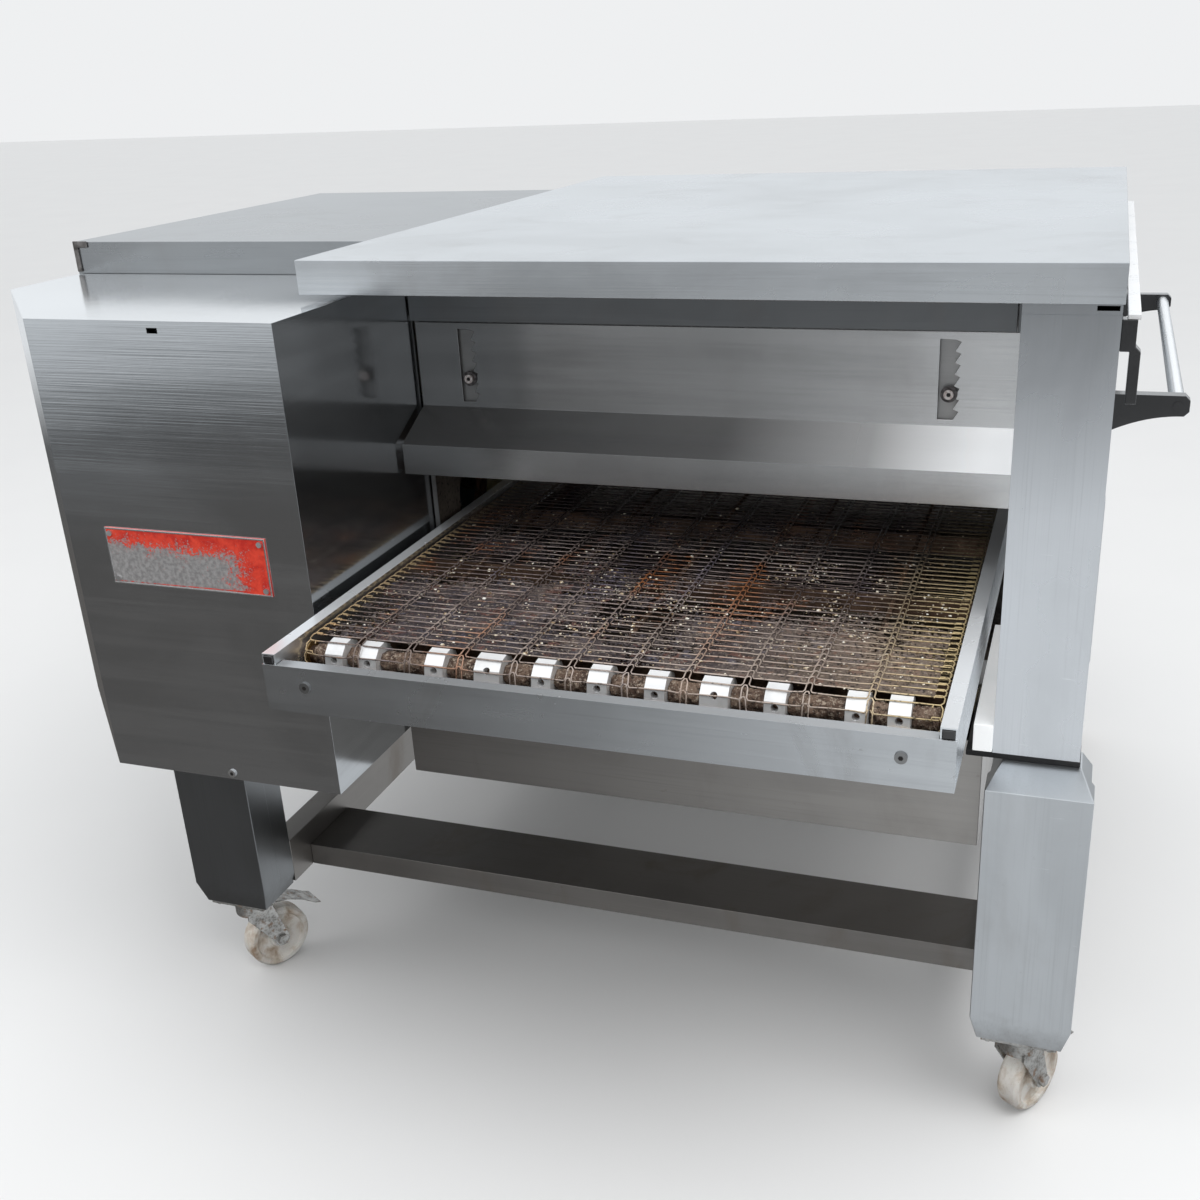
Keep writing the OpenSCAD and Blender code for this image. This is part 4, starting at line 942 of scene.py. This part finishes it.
def badge_frame():
    """A raised silver rim round the badge plate."""
    low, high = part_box("badge_plate")
    y0, y1 = low.y - 0.6 * MM, low.y + 0.2 * MM
    rim = 2.2 * MM
    shapes = [block((low.x, y0, high.z - rim), (high.x, y1, high.z)),
              block((low.x, y0, low.z), (high.x, y1, low.z + rim)),
              block((low.x, y0, low.z + rim), (low.x + rim, y1, high.z - rim)),
              block((high.x - rim, y0, low.z + rim), (high.x, y1, high.z - rim))]
    piece = new_piece("badge_rim", join_shapes(shapes), "fastener_steel", "oven",
                      smooth=False)
    soften(piece, 0.25 * MM)


def display():
    """The display window in the control panel's recess, with plain lit digits."""
    panel_low, panel_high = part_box("control_panel")
    centre = Vector(((panel_low.x + panel_high.x) / 2, (panel_low.y + panel_high.y) / 2, 0))
    out = Vector((-1, 1, 0)).normalized()
    along = Vector((-1, -1, 0)).normalized()
    turn = Matrix((along, -out, Vector((0, 0, 1)))).transposed().to_4x4()
    turn.translation = centre + out * 1.5 * MM
    z0, z1 = 0.936, 1.014
    window = placed(block((-0.074, -0.6 * MM, z0), (0.074, 0.4 * MM, z1)), turn)
    piece = new_piece("display_window", window, "display_glass", "oven", smooth=False)
    soften(piece, 0.3 * MM)
    glow("display_glow", (1.0, 0.25, 0.06), 2.0)
    lit = {"2": "abged", "5": "afgcd", "0": "abcdef"}
    shapes = []
    for place, digit in enumerate("250"):
        x = (place - 1) * 0.034
        w, h, t = 0.018, 0.034, 0.0028
        zc = (z0 + z1) / 2
        bars = {"a": (0, h / 2, w, t), "g": (0, 0, w, t), "d": (0, -h / 2, w, t),
                "f": (-w / 2, h / 4, t, h / 2), "b": (w / 2, h / 4, t, h / 2),
                "e": (-w / 2, -h / 4, t, h / 2), "c": (w / 2, -h / 4, t, h / 2)}
        for key in lit[digit]:
            bx, bz, bw, bh = bars[key]
            shapes.append(block((x + bx - bw * 0.45, -0.9 * MM, zc + bz - bh * 0.45),
                                (x + bx + bw * 0.45, -0.6 * MM, zc + bz + bh * 0.45)))
    digits = placed(join_shapes(shapes), turn)
    new_piece("display_digits", digits, "display_glow", "oven", smooth=False)


def islands(node):
    """The box of each separate solid in a CAD node."""
    mesh = bmesh.new()
    mesh.from_mesh(frame["nodes"][node].data)
    bmesh.ops.remove_doubles(mesh, verts=mesh.verts, dist=0.01 * MM)
    left, boxes = set(mesh.verts), []
    while left:
        reached = [left.pop()]
        for vertex in reached:
            for edge in vertex.link_edges:
                other = edge.other_vert(vertex)
                if other in left:
                    left.remove(other)
                    reached.append(other)
        points = np.array([v.co for v in reached])
        boxes.append((points.min(0), points.max(0)))
    mesh.free()
    return sorted(boxes, key=lambda box: tuple(box[0]))


def screw_sockets():
    """A near-black hexagon on the head of each screw. Its dark colour is painted shade, standing in for the
    socket's hollow.
    """
    shapes = []
    for node, radius in (("panel_screws", 3.0 * MM), ("baffle_clamp_screws", 3.0 * MM)):
        for low, high in islands(node):
            if high[0] - low[0] < 10 * MM:
                continue
            side = 1 if low[1] + high[1] > 0 else -1
            y = high[1] if side > 0 else low[1]
            mid = ((low[0] + high[0]) / 2, y, (low[2] + high[2]) / 2)
            plug = lathe([(0, -0.4 * MM), (radius, -0.4 * MM), (radius, 0.12 * MM), (0, 0.12 * MM)], 6)
            turn = Matrix.Rotation(-side * math.pi / 2, 4, "X")
            turn.translation = mid
            shapes.append(placed(plug, turn))
    new_piece("screw_sockets", join_shapes(shapes), "socket_shade", "oven", smooth=False)


def corner_bracket():
    """The rough dark bracket on the upper left corner of the fan housing."""
    low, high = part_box("fan_housing")
    x0, z1, y = low.x, high.z, low.y
    shapes = [block((x0 + 1 * MM, y - 3 * MM, z1 - 46 * MM), (x0 + 9 * MM, y - 0.1 * MM, z1 + 1 * MM)),
              block((x0 + 9 * MM, y - 3 * MM, z1 - 9 * MM), (x0 + 27 * MM, y - 0.1 * MM, z1 + 1 * MM))]
    piece = new_piece("housing_corner_bracket", join_shapes(shapes), "bracket_steel", "oven",
                      smooth=False)
    soften(piece, 0.8 * MM)


def joint_place(name):
    """Where a joint is at rest."""
    return next(Vector(joint["pos_m"]) for joint in frame["joints"] if joint["name"] == name)


def caster_details(place):
    """A ball-race ring and plate bolts on a caster."""
    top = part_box(place + "_fork")[1].z
    x, y, _ = joint_place(place + "_swivel")
    ring = lathe([(0.014, 0), (0.031, 0), (0.034, -0.002), (0.034, -0.006), (0.030, -0.009), (0.014, -0.009),
                  (0.014, 0)], 48)
    shape = placed(ring, Matrix.Translation((x, y, top + 1.6 * MM)))
    new_piece(place + "_race", shape, "caster_zinc", place + "_caster")
    bolts = []
    head = lathe([(0, -4.2 * MM), (4.6 * MM, -4.2 * MM), (5 * MM, -3.6 * MM), (5 * MM, 0), (0, 0)], 6)
    for dx in (-41 * MM, 41 * MM):
        for dy in (-31 * MM, 31 * MM):
            bolts.append(placed(head, Matrix.Translation((x + dx, y + dy, top + 2 * MM))))
    piece = new_piece(place + "_plate_bolts", join_shapes(bolts), "caster_zinc", "oven",
                      smooth=False)
    soften(piece, 0.4 * MM)


def brake_pedal(place):
    """A pressed-steel pedal over the wheel, on the side that trails."""
    axis = joint_place(place + "_swivel") * Vector((1, 1, 0))
    out = (joint_place(place + "_roll") * Vector((1, 1, 0)) - axis).normalized()
    side = Vector((-out.y, out.x, 0))
    turn = Matrix((out, side, Vector((0, 0, 1)))).transposed().to_4x4()
    turn.translation = axis
    # Outline of the pedal's middle line, in (distance from the swivel axis, height)
    path = [(0.024, 0.125), (0.052, 0.120), (0.078, 0.108), (0.100, 0.092), (0.110, 0.088)]
    half = [0.019, 0.019, 0.021, 0.024, 0.022]
    t = 2.2 * MM
    points, faces = [], []
    for (u, h), w in zip(path, half):
        points += [(u, -w, h), (u, w, h), (u, w, h + t), (u, -w, h + t)]
    for i in range(len(path) - 1):
        a, b = 4 * i, 4 * i + 4
        faces += [(a + k, a + (k + 1) % 4, b + (k + 1) % 4, b + k) for k in range(4)]
    last = 4 * (len(path) - 1)
    faces += [(3, 2, 1, 0), (last, last + 1, last + 2, last + 3)]
    shape = placed((points, faces), turn)
    piece = new_piece(place + "_brake_pedal", shape, "caster_zinc", place + "_caster",
                      smooth=False)
    soften(piece, 0.8 * MM)


badge_frame()
screw_sockets()
display()
corner_bracket()
for place in CASTERS:
    caster_details(place)
for place in ("near_right", "near_left"):
    brake_pedal(place)


# ---------------------------------------------------------------------------
# Stage, light and camera
# ---------------------------------------------------------------------------


def stage():
    half = 30.0
    mesh = mesh_from("floor", [(-half, -half, 0), (half, -half, 0), (half, half, 0), (-half, half, 0)],
                     [(0, 1, 2, 3)])
    floor = bpy.data.objects.new("floor", mesh)
    bpy.context.scene.collection.objects.link(floor)
    mesh.materials.append(floor_material())
    floor.visible_glossy = False


def surroundings():
    """Soft pale surroundings. Metal mirrors a yard instead, given as brightness against the ray's height at
    the left, in the middle and at the right."""
    world = bpy.data.worlds.new("surroundings")
    bpy.context.scene.world = world
    world.use_nodes = True
    s = Shader.__new__(Shader)
    s.tree = world.node_tree
    s.tree.nodes.clear()
    output = s.add("ShaderNodeOutputWorld")
    s.place = s.add("ShaderNodeTexCoord").outputs["Generated"]
    wobble = s.minus(s.noise(2.2, 4.0, 0.55, shift=4.0), 0.5)
    across = s.plus(s.axis("X"), s.times(wobble, 0.10))
    height = s.plus(s.axis("Z"), s.times(wobble, 0.03))
    # Height is from -1, straight down, to +1, straight up. The ramp's own input runs from 0 to 1.
    place = s.math("MULTIPLY_ADD", height, 0.5, 0.5)
    warm, cool = (1.05, 1.0, 0.96), (0.965, 1.0, 1.03)
    bands = {
        "left": [(-0.60, 0.12, warm), (-0.30, 0.10, warm), (-0.225, 0.10, cool), (-0.158, 0.88, cool),
                 (0.0, 0.80, cool), (0.35, 1.15, cool)],
        "middle": [(-0.60, 0.07, warm), (-0.30, 0.12, warm), (-0.17, 0.10, cool), (-0.11, 0.50, cool),
                   (0.0, 0.70, cool), (0.35, 1.15, cool)],
        "right": [(-0.65, 0.60, cool), (-0.50, 0.84, cool), (-0.38, 0.93, cool), (-0.29, 0.86, cool),
                  (-0.205, 0.34, cool), (-0.13, 0.42, cool), (0.0, 0.74, cool), (0.35, 1.15, cool)],
    }
    looks = {}
    for side, stops in bands.items():
        looks[side] = s.ramp(place, [(0.5 + 0.5 * at, tuple(level * c for c in tint))
                                     for at, level, tint in stops])
    colour = s.mix(looks["left"], looks["middle"], s.span(across, -0.54, -0.44))
    colour = s.mix(colour, looks["right"], s.span(across, -0.50, -0.02))
    rays = s.add("ShaderNodeLightPath")
    colour = s.mix((0.86, 0.87, 0.88), colour, rays.outputs["Is Glossy Ray"])
    background = s.add("ShaderNodeBackground")
    s.feed(background.inputs["Color"], colour)
    background.inputs["Strength"].default_value = 1.0
    s.tree.links.new(background.outputs[0], output.inputs["Surface"])


def soft_light(name, place, aim, size, power, colour=(1, 1, 1)):
    light = bpy.data.lights.new(name, "AREA")
    light.shape = "RECTANGLE"
    light.size, light.size_y = size
    light.energy = power
    light.color = colour
    lamp = bpy.data.objects.new(name, light)
    bpy.context.scene.collection.objects.link(lamp)
    lamp.location = place
    lamp.rotation_euler = (Vector(aim) - Vector(place)).to_track_quat("-Z", "Y").to_euler()
    lamp.visible_glossy = False
    return lamp


def camera():
    """The view of the photographed oven: from the front right, a little above its cover."""
    lens = bpy.data.cameras.new("camera")
    lens.sensor_width = 36.0
    lens.lens = 39.92
    lens.shift_x = -0.0299
    lens.shift_y = 0.0106
    lens.clip_end = 200.0
    view = bpy.data.objects.new("camera", lens)
    bpy.context.scene.collection.objects.link(view)
    yaw, pitch, roll = (math.radians(a) for a in (19.6, -22.6, -2.7))
    ahead = Vector((-math.sin(yaw) * math.cos(pitch), math.cos(yaw) * math.cos(pitch), math.sin(pitch)))
    level = Vector((math.cos(yaw), math.sin(yaw), 0))
    above = level.cross(ahead)
    right = math.cos(roll) * level + math.sin(roll) * above
    up = -math.sin(roll) * level + math.cos(roll) * above
    pose = Matrix((right, up, -ahead)).transposed().to_4x4()
    pose.translation = (BELT_X + 0.5208, -2.1484, 1.4199)
    view.matrix_world = pose
    bpy.context.scene.camera = view


stage()
surroundings()
soft_light("key", (BELT_X + 1.6, -1.6, 4.2), (BELT_X, 0, 0.8), (3.2, 2.4), 95)
soft_light("fill", (BELT_X - 3.6, -2.4, 2.6), (BELT_X - 0.3, 0, 0.8), (2.4, 2.4), 28)
camera()
bpy.context.scene.view_settings.view_transform = "Standard"
